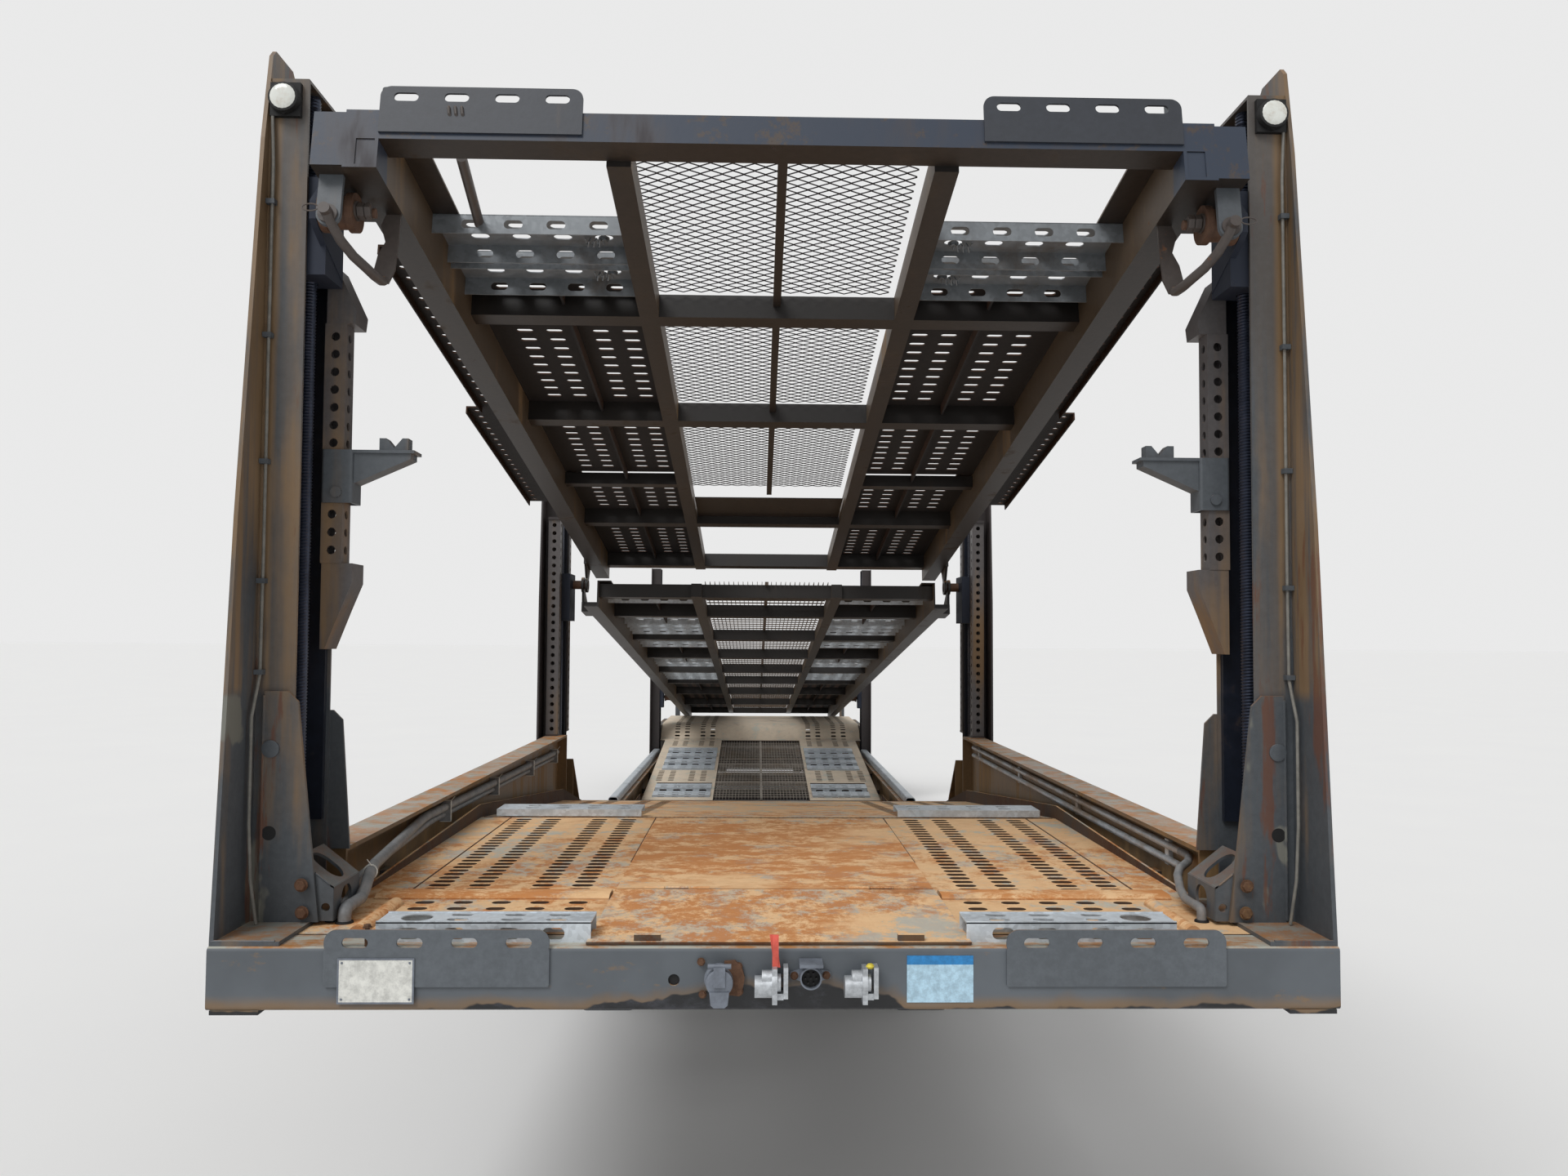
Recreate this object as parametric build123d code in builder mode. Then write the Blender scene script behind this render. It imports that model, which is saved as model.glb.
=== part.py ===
from build123d import *
import math
import os

os.makedirs("parts", exist_ok=True)

# Car transporter semi-trailer standing on its landing legs, in millimetres.
# X runs across, with the trailer's own left at +X, Y runs back from the front, Z runs up from the ground.
# The origin is on the ground under the middle of the trailer. A station is a distance back from the
# front face of the front crossmember.

# Whole trailer
FRONT_Y = -6895
HALF_WIDTH = 1275
PLATFORM_Z = 1200

# Front crossmember
CROSS_DEPTH = 120
CROSS_LOW = 1060
CROSS_CORNER_R = 10

# Posts: a wide outer plate and a channel that opens towards the middle of the trailer
PLATE_T = 10
CHANNEL_OUT = 1265
CHANNEL_IN = 1172
CHANNEL_DEPTH = 240
CHANNEL_T = 8
FRONT_CHANNEL = 200
MID_CHANNEL = 4050
REAR_CHANNEL = 10940
FRONT_POST_TOP = 3270
MID_POST_TOP = 2900
REAR_POST_TOP = 2700

# Upper decks: slope, pivot and size
DECK_HALF = 1035
WEB_X = 955
BEAM_HIGH = 150
PIVOT_STATION = 4170
PIVOT_Z = 2200
PIN_R = 25
FRONT_DECK_SLOPE = 9.45
FRONT_DECK_LOW = 2990
FRONT_DECK_START = 50
FRONT_DECK_LONG = 4480
REAR_DECK_SLOPE = 7.43
REAR_DECK_LOW = 2070
REAR_DECK_START = 3980
REAR_DECK_LONG = 9940
RAIL_IN = 370
RAIL_OUT = 430
TRACK_W = 136
TRACK_T = 5

# Carriages
ROLLER_R = 47.5
ROLLER_GAP = 4
FRONT_ROLLER_STATION = 170
REAR_ROLLER_STATION = 11060
SHELF_FRONT_W = 5
SHELF_REAR_W = 112

# Running gear
AXLE_STATIONS = [11720, 12980]
TYRE_R = 398
BEAD_R = 234
TWIN_X = [871, 1133]
AXLE_R = 63.5

# Landing legs
LEG_STATION = 3500
LEG_X = 800


def at(station):
    return FRONT_Y + station


def deck_plane(station, low, slope):
    """Plane of an upper deck: local X across, local Y back along the beams, local Z square to the deck."""
    tilt = math.radians(slope)
    return Plane(origin=(0, at(station), low), x_dir=(1, 0, 0), z_dir=(0, math.sin(tilt), math.cos(tilt)))


FRONT_DECK = deck_plane(FRONT_DECK_START, FRONT_DECK_LOW, FRONT_DECK_SLOPE)
REAR_DECK = deck_plane(REAR_DECK_START, REAR_DECK_LOW, REAR_DECK_SLOPE)


def deck_height(station, start, low, slope, w):
    """Height of a deck's plane, w millimetres above its beams' bottom edge, at a station."""
    tilt = math.radians(slope)
    return low - math.tan(tilt) * (station - start) + w / math.cos(tilt)


def deck_face(deck, x, v, w):
    """Plane facing forwards along a deck, at a point given in the deck's own plane."""
    origin = deck.from_local_coords(Vector(x, v, w))
    return Plane(origin=origin, x_dir=(1, 0, 0), z_dir=-deck.y_dir)


def save(builder, name):
    builder.part.label = name
    export_step(builder.part, f"parts/{name}.step")


def block(x, y, z):
    """Box between two limits along each axis, given as pairs."""
    size = [pair[1] - pair[0] for pair in (x, y, z)]
    middle = [(pair[0] + pair[1]) / 2 for pair in (x, y, z)]
    with Locations(tuple(middle)):
        Box(*size)


def side_profile(x, thick, points, mode=Mode.ADD):
    """Plate lying in a side view: points are (station, height), its inner face at x."""
    with BuildSketch(Plane.YZ.offset(x)) as outline:
        with BuildLine():
            Polyline([(at(s), z) for s, z in points], close=True)
        make_face()
    extrude(outline.sketch, amount=thick, mode=mode)


def forward_plane(x, station, z):
    """Plane that faces forwards: local X across, local Y up."""
    return Plane(origin=(x, at(station), z), x_dir=(1, 0, 0), z_dir=(0, -1, 0))


def front_profile(station, thick, points, mode=Mode.ADD):
    """Plate lying across the trailer: points are (x, height), its front face at a station."""
    with BuildSketch(forward_plane(0, station, 0)) as outline:
        with BuildLine():
            Polyline(points, close=True)
        make_face()
    extrude(outline.sketch, amount=-thick, mode=mode)


# Front crossmember: a welded box beam with a cable hole and a small step under each end
with BuildPart() as front_crossmember:
    with BuildSketch(Plane.YZ):
        with Locations((at(CROSS_DEPTH / 2), (CROSS_LOW + PLATFORM_Z) / 2)):
            RectangleRounded(CROSS_DEPTH, PLATFORM_Z - CROSS_LOW, CROSS_CORNER_R)
            RectangleRounded(CROSS_DEPTH - 16, PLATFORM_Z - CROSS_LOW - 16, 5, mode=Mode.SUBTRACT)
    extrude(amount=HALF_WIDTH, both=True)
    for side in (-1, 1):
        block(sorted((side * 1267, side * 1270)), (at(8), at(112)), (1068, 1192))
        block(sorted((side * 1160, side * 1268)), (at(4), at(70)), (1050, 1060))
    with Locations(forward_plane(-237, 0, 1128)):
        Cylinder(13, 30, mode=Mode.SUBTRACT)
save(front_crossmember, "front_crossmember")

# Lashing rails on the crossmember, each with four oval slots
with BuildPart() as lower_lashing_rails:
    for middle in (-765, 762):
        with BuildSketch(forward_plane(middle, 0, 1177)):
            RectangleRounded(500, 126, 6)
            with Locations((0, 33)):
                Rectangle(500, 60, mode=Mode.SUBTRACT)
                RectangleRounded(500, 60, 28)
            with Locations((0, -10)):
                Rectangle(500, 60)
            with Locations((0, 34)):
                with GridLocations(121, 1, 4, 1):
                    SlotOverall(58, 22, mode=Mode.SUBTRACT)
        extrude(amount=6)
save(lower_lashing_rails, "lower_lashing_rails")

# Neck frame: two long members under the platform and their cross ties
NECK_TIES = [500, 900, 1700, 2150, 2700, 3300]
NECK_MEMBER = [(120, 1194), (1900, 1194), (3850, 991), (3850, 860), (2200, 1052), (120, 1052)]
with BuildPart() as neck_frame:
    for inner in (-480, 400):
        side_profile(inner, 80, NECK_MEMBER)
    for tie in NECK_TIES:
        top = PLATFORM_Z - 6 - max(0, tie + 60 - 1900) * 0.1041
        if tie < 3000:
            block((-1180, 1180), (at(tie), at(tie + 60)), (1054, top))
        else:
            block((-1180, 1180), (at(tie), at(tie + 60)), (960, 1040))
save(neck_frame, "neck_frame")

# Coupler plate with its turned-up front lip, bored for the kingpin
KINGPIN_STATION = 1300
COLLAR_R = 36.5
with BuildPart() as coupler_plate:
    side_profile(-550, 1100, [(118, 1052), (98, 1058), (96, 1050), (250, 1040), (2150, 1040), (2150, 1052)])
    with Locations((0, at(KINGPIN_STATION), 1046)):
        Cylinder(COLLAR_R + 0.5, 40, mode=Mode.SUBTRACT)
save(coupler_plate, "coupler_plate")

# Two-inch kingpin: head, neck, collar through the plate and flange on top of it, as (radius, height)
KINGPIN_LOW = 956
KINGPIN_OUTLINE = [(0, 0), (32, 0), (35.7, 4), (35.7, 14), (25.4, 20), (25.4, 49), (COLLAR_R, 49),
                   (COLLAR_R, 96), (90, 96), (90, 110), (0, 110)]
with BuildPart() as kingpin:
    with BuildSketch(forward_plane(0, KINGPIN_STATION, KINGPIN_LOW)):
        with BuildLine():
            Polyline(KINGPIN_OUTLINE, close=True)
        make_face()
    revolve(axis=Axis((0, at(KINGPIN_STATION), 0), (0, 0, 1)))
save(kingpin, "kingpin")

# Side frames: an I beam beside the platform and a deep gusset and sill beside the well
FRONT_BEAM = [(120, 1200), (460, 1200), (460, 1340), (4050, 1340), (4050, 700), (3500, 1040), (120, 1040)]
SILL = [(4290, 1180), (4900, 560), (10940, 560), (10940, 340), (4290, 340)]
with BuildPart() as side_frames:
    for outline in (FRONT_BEAM, SILL):
        with BuildSketch(Plane.YZ.offset(1130)):
            with BuildLine():
                Polyline([(at(s), z) for s, z in outline], close=True)
            make_face()
            offset(amount=-12, kind=Kind.INTERSECTION, mode=Mode.SUBTRACT)
        extrude(amount=110)
        side_profile(1180, 10, outline)
    mirror(about=Plane.YZ)
save(side_frames, "side_frames")

# Galvanised rails along the sides of the well
WELL_RAIL_START = 6800
WELL_RAIL_END = 10900
with BuildPart() as well_side_rails:
    with BuildSketch(Plane.XZ.offset(-at(WELL_RAIL_START))):
        with Locations((1195, 590)):
            RectangleRounded(80, 60, 22)
            RectangleRounded(70, 50, 17, mode=Mode.SUBTRACT)
    extrude(amount=-(WELL_RAIL_END - WELL_RAIL_START))
    mirror(about=Plane.YZ)
save(well_side_rails, "well_side_rails")

# Front platform: a flat plate that slopes down behind the coupler, with a rolled edge bar on each side
# and a chamfered cross bar behind the hatch's corners
PLATFORM_SHEET = [(120, 1194), (1900, 1194), (3850, 991), (3850, 997), (1900, 1200), (120, 1200)]
PLATFORM_EDGE = [(470, 1194), (1900, 1194), (3850, 991), (3850, 1060), (1900, 1250), (470, 1210)]
EDGE_BAR_X = 986
EDGE_BAR_R = 20
CROSS_BAR_X = (443, 1060)
CROSS_BAR = [(430, 1197), (430, 1206), (442, 1216), (498, 1216), (510, 1206), (510, 1197)]
with BuildPart() as front_platform:
    side_profile(-1120, 2240, PLATFORM_SHEET)
    for edge in (-1120, 1112):
        side_profile(edge, 8, PLATFORM_EDGE)
    for side in (-1, 1):
        with BuildSketch(forward_plane(side * EDGE_BAR_X, 125, PLATFORM_Z - 2)) as half_round:
            Circle(EDGE_BAR_R)
            with Locations((0, -EDGE_BAR_R)):
                Rectangle(2 * EDGE_BAR_R, 2 * EDGE_BAR_R, mode=Mode.SUBTRACT)
        extrude(half_round.sketch, amount=-300)
        bar_x = sorted((side * CROSS_BAR_X[0], side * CROSS_BAR_X[1]))
        side_profile(bar_x[0], bar_x[1] - bar_x[0], CROSS_BAR)
save(front_platform, "front_platform")

# Hinged hatch with two knuckles on its rear edge
HATCH_HINGE = 582
HATCH_Z = 1207.5
KNUCKLE_R = 7
with BuildPart() as platform_hatch:
    block((-437, 437), (at(16), at(572)), (1202, 1208))
    block((-425, 425), (at(128), at(560)), (1201, 1202))
    for knuckle in (-270, 290):
        with Locations(Location((knuckle, at(HATCH_HINGE), HATCH_Z), (0, 90, 0))):
            Cylinder(KNUCKLE_R, 60)
        block((knuckle - 30, knuckle + 30), (at(570), at(HATCH_HINGE)), (1202, 1208))
    for latch in (-300, 300):
        block((latch - 30, latch + 30), (at(24), at(40)), (1208, 1222))
save(platform_hatch, "platform_hatch")

# Fixed cover behind the hatch
with BuildPart() as centre_cover:
    block((-436, 436), (at(596), at(1720)), (1200, 1206))
    for knuckle in (-332, -208, 228, 352):
        with Locations(Location((knuckle, at(HATCH_HINGE), HATCH_Z), (0, 90, 0))):
            Cylinder(KNUCKLE_R, 55)
        block((knuckle - 27, knuckle + 27), (at(HATCH_HINGE), at(600)), (1200, 1207))
save(centre_cover, "centre_cover")


PLANK_T = 3
PLANK_BEND = 5


def plank(deck, x, v, top, deep=45):
    """Channel plank folded from sheet, legs down, between limits along x and v on a deck's plane."""
    start = deck.from_local_coords(Vector(min(x), 0, 0))
    crosswise = Plane(origin=start, x_dir=deck.y_dir, z_dir=(1, 0, 0))
    front, rear = v
    skin = PLANK_T
    bend = PLANK_BEND
    outside = [(front, top - deep), (front, top - bend), (front + bend, top), (rear - bend, top),
               (rear, top - bend), (rear, top - deep)]
    inside = [(rear - skin, top - deep), (rear - skin, top - bend), (rear - bend, top - skin),
              (front + bend, top - skin), (front + skin, top - bend), (front + skin, top - deep)]
    with BuildSketch(crosswise) as section:
        with BuildLine():
            Polyline(outside + inside, close=True)
        make_face()
    extrude(section.sketch, amount=max(x) - min(x))


# Galvanised planks on the crossmember, with its hand hole and front slot, and on the platform
with BuildPart() as platform_planks:
    plank(Plane.XY, (444, 930), (at(10), at(110)), 1245)
    with Locations((835, at(52), 1245)):
        Box(90, 68, 10, mode=Mode.SUBTRACT)
    with BuildSketch(forward_plane(515, 0, 1222)) as leg_slot:
        SlotOverall(60, 24)
    extrude(leg_slot.sketch, amount=-30, mode=Mode.SUBTRACT)
    plank(Plane.XY, (460, 962), (at(130), at(325)), 1226, 26)
    plank(Plane.XY, (500, 1060), (at(1935), at(2080)), 1226, 26)
    mirror(about=Plane.YZ)
save(platform_planks, "platform_planks")

# Well floor with the slope that leads down to it
FLOOR_LINE = [(3860, 997), (6500, 400), (8200, 400)]
with BuildPart() as well_floor:
    lower = [(s, z - 6) for s, z in reversed(FLOOR_LINE)]
    side_profile(-1120, 2240, FLOOR_LINE + lower)
    lip = [(s, z + 60) for s, z in FLOOR_LINE]
    side_profile(-1120, 6, lip + lower)
    side_profile(1114, 6, lip + lower)
save(well_floor, "well_floor")

# Wheel ramp: two tracks that rise from the well to the wheel deck, each a plate with two open bays
# that hold galvanised planks, on a web along each edge
RAMP_START = 8210
RAMP_LOW = 402
RAMP_SLOPE = 6.3
RAMP_LONG = 2805
RAMP_X = (450, 1105)
RAMP_BAY_X = (480, 1020)
RAMP_BAYS = [(110, 690), (1250, 2380)]
RAMP_PLANKS = [130, 430, 1262, 1560, 1858, 2156]
RAMP_WEB = [(8210, 340), (8900, 380), (10700, 579), (11000, 650), (11000, 702), (8210, 394)]
RAMP = Plane(origin=(0, at(RAMP_START), RAMP_LOW), x_dir=(1, 0, 0),
             z_dir=(0, -math.sin(math.radians(RAMP_SLOPE)), math.cos(math.radians(RAMP_SLOPE))))
with BuildPart() as wheel_ramp:
    with BuildSketch(RAMP.offset(-8)) as track_plate:
        with Locations((sum(RAMP_X) / 2, RAMP_LONG / 2)):
            Rectangle(RAMP_X[1] - RAMP_X[0], RAMP_LONG)
        for start, end in RAMP_BAYS:
            with Locations((sum(RAMP_BAY_X) / 2, (start + end) / 2)):
                Rectangle(RAMP_BAY_X[1] - RAMP_BAY_X[0], end - start, mode=Mode.SUBTRACT)
    extrude(track_plate.sketch, amount=8)
    for web in (RAMP_X[0], RAMP_X[1] - 8):
        side_profile(web, 8, RAMP_WEB)
    for start in RAMP_PLANKS:
        plank(RAMP, RAMP_BAY_X, (start, start + 170), 10)
    mirror(about=Plane.YZ)
save(wheel_ramp, "wheel_ramp")

# Centre grating of the wheel ramp: long bars on cross bars that reach the ramp's webs
with BuildPart() as ramp_grating:
    with BuildSketch(RAMP.offset(-24)) as bars:
        with Locations((0, 1440)):
            with GridLocations(73, 1, 13, 1):
                Rectangle(4, 2680)
    extrude(bars.sketch, amount=20)
    with BuildSketch(RAMP.offset(-31)) as cross_bars:
        with Locations((0, 1440)):
            with GridLocations(1, 640, 1, 5):
                Rectangle(2 * RAMP_X[0], 20)
    extrude(cross_bars.sketch, amount=7)
save(ramp_grating, "ramp_grating")

# Wheel deck: rounded nose, flat top over the axles and a slope down to the tail
with BuildPart() as wheel_deck:
    with BuildSketch(Plane.YZ.offset(-1165)):
        with BuildLine():
            top_start = Line((at(11000), 710), (at(11130), 726))
            nose_top = ThreePointArc(top_start @ 1, (at(11215), 820), (at(11420), 880))
            flat = Polyline([nose_top @ 1, (at(12750), 880), (at(13760), 738), (at(13760), 728), (at(12750), 870),
                             (at(11425), 870)])
            nose_low = ThreePointArc(flat @ 1, (at(11222), 812), (at(11138), 716))
            Polyline([nose_low @ 1, (at(11000), 700), top_start @ 0])
        make_face()
    extrude(amount=2330)
save(wheel_deck, "wheel_deck")

# Rear frame: two long members that carry the axles, with cross ties
REAR_MEMBER = [(10700, 560), (11180, 690), (11270, 790), (11440, 870), (12750, 870), (13760, 728),
               (13760, 560), (11300, 560), (10700, 400)]
with BuildPart() as rear_frame:
    for inner in (-490, 410):
        side_profile(inner, 80, REAR_MEMBER)
    block((-1130, 1130), (at(11180), at(11240)), (560, 700))
    block((-1160, 1160), (at(12320), at(12380)), (790, 870))
    block((-1160, 1160), (at(13690), at(13750)), (660, 726))
save(rear_frame, "rear_frame")

# Floor crossmembers between the sills: station and top height of each
FLOOR_TIES = [(4500, 832), (6140, 461), (6860, 394), (7580, 394), (8130, 394), (9020, 393), (9740, 472),
              (10460, 546)]
with BuildPart() as floor_crossmembers:
    for station, top in FLOOR_TIES:
        block((-1180, 1180), (at(station), at(station + 60)), (max(top - 100, 354), top))
        block((-1120, 1120), (at(station), at(station + 60)), (top - 100, top))
    block((-1235, 1235), (at(5420), at(5480)), (560, 624))
save(floor_crossmembers, "floor_crossmembers")

# Rear underrun bar on two arms
with BuildPart() as rear_bumper:
    block((-1180, 1180), (at(13760), at(13850)), (440, 560))
    for x in (-490, 410):
        block((x, x + 80), (at(13760), at(13800)), (560, 700))
save(rear_bumper, "rear_bumper")

# Lamp clusters on the underrun bar
with BuildPart() as tail_lamps:
    for x in (-1000, 1000):
        block((x - 170, x + 170), (at(13850), at(13857)), (450, 550))
save(tail_lamps, "tail_lamps")

# Curved mudguards before and behind each twin wheel
MUDGUARD_R = 446
with BuildPart() as mudguards:
    for axle in AXLE_STATIONS:
        with BuildSketch(Plane.YZ.offset(745)):
            with Locations((at(axle), TYRE_R)):
                Circle(MUDGUARD_R)
                Circle(MUDGUARD_R - 5, mode=Mode.SUBTRACT)
            with Locations((at(axle), TYRE_R - 320)):
                Rectangle(1200, 800, mode=Mode.SUBTRACT)
            with Locations((at(axle), TYRE_R + 700)):
                Rectangle(1200, 620, mode=Mode.SUBTRACT)
        extrude(amount=505)
        for stay in (axle - MUDGUARD_R, axle + MUDGUARD_R - 10):
            block((490, 760), (at(stay), at(stay + 10)), (590, 630))
    side_profile(1166, 88, [(11190, 840), (12750, 840), (13756, 700), (13756, 694), (12750, 834), (11190, 834)])
    side_profile(1165, 6, [(11190, 869), (12750, 869), (13756, 727), (13756, 694), (12750, 834), (11190, 834)])
    mirror(about=Plane.YZ)
save(mudguards, "mudguards")

# Landing legs: outer tube, inner tube and foot, with a shaft and gearbox between them
with BuildPart() as landing_legs:
    for x in (-LEG_X, LEG_X):
        block((x - 65, x + 65), (at(LEG_STATION - 55), at(LEG_STATION + 55)), (380, 960))
        block((x - 50, x + 50), (at(LEG_STATION - 42), at(LEG_STATION + 42)), (60, 380))
        with BuildSketch(Plane(origin=(x, at(LEG_STATION), 0))) as foot_base:
            RectangleRounded(250, 220, 20)
        extrude(amount=14)
        with BuildSketch(Plane(origin=(x, at(LEG_STATION), 14))) as foot_low:
            Rectangle(150, 130)
        with BuildSketch(Plane(origin=(x, at(LEG_STATION), 60))) as foot_high:
            Rectangle(100, 84)
        loft(sections=[foot_low.sketch.faces()[0], foot_high.sketch.faces()[0]])
    with Locations(Location((0, at(LEG_STATION), 800), (0, 90, 0))):
        Cylinder(16, 2 * LEG_X)
    with Locations(Location((1010, at(LEG_STATION), 800), (0, 90, 0))):
        Cylinder(14, 320)
    block((865, 940), (at(LEG_STATION - 45), at(LEG_STATION + 45)), (750, 850))
    for side in (-1, 1):
        block(sorted((side * 480, side * 740)), (at(LEG_STATION - 25), at(LEG_STATION + 25)), (905, 955))
save(landing_legs, "landing_legs")

# Axles: beam, hubs and brake drums
with BuildPart() as axles:
    for axle in AXLE_STATIONS:
        with Locations(Location((0, at(axle), TYRE_R), (0, 90, 0))):
            Cylinder(AXLE_R, 1500)
            Cylinder(45, 2300)
        for side in (-1, 1):
            with Locations(Location((side * 800, at(axle), TYRE_R), (0, 90, 0))):
                Cylinder(165, 170)
save(axles, "axles")

# Air suspension: hanger brackets, trailing arms, and air bags on their pistons
TRAILING_ARM = [(-400, 320), (-400, 400), (-110, 334), (400, 334), (400, 290), (-60, 270)]
HANGER = [(-420, 560), (-320, 560), (-300, 380), (-400, 320)]
with BuildPart() as air_suspension:
    for axle in AXLE_STATIONS:
        for inner in (410, -490):
            side_profile(inner, 80, [(axle + run, z) for run, z in HANGER])
            side_profile(inner, 80, [(axle + run, z) for run, z in TRAILING_ARM])
            with Locations((inner + 40, at(axle + 320), 480)):
                Cylinder(75, 160)
            with Locations((inner + 40, at(axle + 320), 367)):
                Cylinder(52, 66)
save(air_suspension, "air_suspension")

# Outlines of a wheel's turned pieces, as (distance from its own middle, radius)
RIM_OUTLINE = [(-102, BEAD_R), (102, BEAD_R), (102, 214), (-102, 214)]
DISC_OUTLINE = [(-46, 46), (-46, 214), (-30, 214), (-30, 150), (32, 150), (32, 214), (48, 214), (48, 46)]
TYRE_OUTLINE = [(-92, BEAD_R), (-116, 310), (-96, TYRE_R), (96, TYRE_R), (116, 310), (92, BEAD_R)]


def turned(middle, axle, outline):
    """Ring turned about an axle's line, from an outline of distances and radii."""
    with BuildSketch(forward_plane(middle, axle, TYRE_R)) as half_section:
        with BuildLine():
            Polyline(outline, close=True)
        make_face()
    revolve(half_section.sketch, axis=Axis((0, at(axle), TYRE_R), (1, 0, 0)))


# Twin wheels: both rims with their discs in one piece, both tyres in another
for axle_name, axle in zip(("front", "rear"), AXLE_STATIONS):
    for side_name, side in (("left", 1), ("right", -1)):
        wheel_name = f"{axle_name}_{side_name}"
        with BuildPart() as rims:
            for x in TWIN_X:
                turned(side * x, axle, RIM_OUTLINE)
            turned(side * sum(TWIN_X) / 2, axle, DISC_OUTLINE)
        save(rims, f"{wheel_name}_rims")
        with BuildPart() as tyres:
            for x in TWIN_X:
                turned(side * x, axle, TYRE_OUTLINE)
        save(tyres, f"{wheel_name}_tyres")


def post_channel(front, low, top):
    """Channel of a post, open towards the middle of the trailer."""
    with BuildSketch(Plane.XY.offset(low)) as section:
        with Locations(((CHANNEL_IN + CHANNEL_OUT) / 2, at(front + CHANNEL_DEPTH / 2))):
            Rectangle(CHANNEL_OUT - CHANNEL_IN, CHANNEL_DEPTH)
        with Locations(((CHANNEL_IN + CHANNEL_OUT) / 2 - CHANNEL_T, at(front + CHANNEL_DEPTH / 2))):
            Rectangle(CHANNEL_OUT - CHANNEL_IN, CHANNEL_DEPTH - 2 * CHANNEL_T, mode=Mode.SUBTRACT)
    extrude(section.sketch, amount=top - low)
    block((CHANNEL_IN, CHANNEL_OUT), (at(front), at(front + CHANNEL_DEPTH)), (top - 8, top))


# Front posts: leaning outer plate, channel, foot plate and rear gusset
POST_FOOT = 1210
FOOT_PLATE = [(1240, 1210), (1240, 1760), (1185, 1760), (1160, 1735), (1125, 1420), (1100, 1210)]
REAR_GUSSET = [(1264, 1340), (1264, 1650), (1240, 1700), (1165, 1700), (1140, 1675), (1115, 1340)]
with BuildPart() as front_posts:
    post_channel(FRONT_CHANNEL, POST_FOOT, FRONT_POST_TOP)
    side_profile(CHANNEL_OUT, PLATE_T, [(10, POST_FOOT), (77, 2170), (170, 3110), (207, 3330), (225, 3350),
                                        (330, 3350), (440, 3240), (440, POST_FOOT)])
    block((1120, HALF_WIDTH), (at(10), at(460)), (PLATFORM_Z, POST_FOOT))
    front_profile(190, 10, FOOT_PLATE)
    front_profile(440, 8, REAR_GUSSET)
    mirror(about=Plane.YZ)
save(front_posts, "front_posts")

# Foot brackets: folded sheet with oval holes inside each front post
BRACKET_OUTLINE = [(1160, 1210), (1160, 1440), (1118, 1440), (1008, 1345), (1008, 1210)]
BRACKET_INSIDE = [(1170, 1218), (1170, 1432), (1121, 1432), (1016, 1341), (1016, 1218)]
BRACKET_SLANT = math.degrees(math.atan2(1440 - 1345, 1118 - 1008))
with BuildPart() as foot_brackets:
    front_profile(200, 225, BRACKET_OUTLINE)
    front_profile(192, 240, BRACKET_INSIDE, Mode.SUBTRACT)
    with BuildSketch(Plane.YZ.offset(1000)) as inner_hole:
        with Locations(Location((at(300), 1276), 90)):
            SlotOverall(70, 34)
    extrude(inner_hole.sketch, amount=30, mode=Mode.SUBTRACT)
    slant_face = Plane(origin=(1063, at(305), 1393), x_dir=(0, 1, 0),
                       z_dir=(-math.sin(math.radians(BRACKET_SLANT)), 0, math.cos(math.radians(BRACKET_SLANT))))
    with BuildSketch(slant_face) as slant_hole:
        SlotOverall(150, 62)
    extrude(slant_hole.sketch, amount=20, both=True, mode=Mode.SUBTRACT)
    mirror(about=Plane.YZ)
save(foot_brackets, "foot_brackets")

# Lift screws inside the posts: station, low end and high end of each
SCREWS = [(FRONT_CHANNEL + 90, POST_FOOT, FRONT_POST_TOP - 8), (MID_CHANNEL + 90, 700, MID_POST_TOP - 8),
          (REAR_CHANNEL + 90, 420, REAR_POST_TOP - 8)]
SCREW_X = 1195
SCREW_R = 19
with BuildPart() as lift_screws:
    for station, low, top in SCREWS:
        with Locations((SCREW_X, at(station), (low + top) / 2)):
            Cylinder(SCREW_R, top - low)
    mirror(about=Plane.YZ)
save(lift_screws, "lift_screws")

# Guide strips on the rear wall of each post: front of its channel, low end and high end
GUIDES = [(FRONT_CHANNEL, 1420, 3250), (MID_CHANNEL, 700, 2880), (REAR_CHANNEL, 420, 2680)]
with BuildPart() as screw_guides:
    for front, low, top in GUIDES:
        block((1180, 1250), (at(front + 216), at(front + 232)), (low, top))
    mirror(about=Plane.YZ)
save(screw_guides, "screw_guides")

# Support struts: square tubes on the front posts and before and behind the mid posts
# Each has its front station, low end, high end and the X of its middle
STRUT_WIDE = 66
STRUT_DEEP = 60
TOP_WEDGE = [(1100, 2700), (1172, 2700), (1172, 2850), (1150, 2850), (1096, 2735)]
LOW_WEDGE = [(1172, 1860), (1172, 2080), (1094, 2080), (1094, 2030), (1122, 1960), (1160, 1860)]
STRUTS = [(350, 2080, 2700, 1135), (3970, 1350, 2560, 1205), (4310, 1350, 2560, 1205)]
with BuildPart() as support_struts:
    for station, low, top, x in STRUTS:
        with BuildSketch(Plane(origin=(x, at(station + STRUT_DEEP / 2), low))):
            Rectangle(STRUT_WIDE, STRUT_DEEP)
            Rectangle(STRUT_WIDE - 10, STRUT_DEEP - 10, mode=Mode.SUBTRACT)
        extrude(amount=top - low)
    for wedge in (TOP_WEDGE, LOW_WEDGE):
        front_profile(352, 88, wedge)
    mirror(about=Plane.YZ)
save(support_struts, "support_struts")

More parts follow.
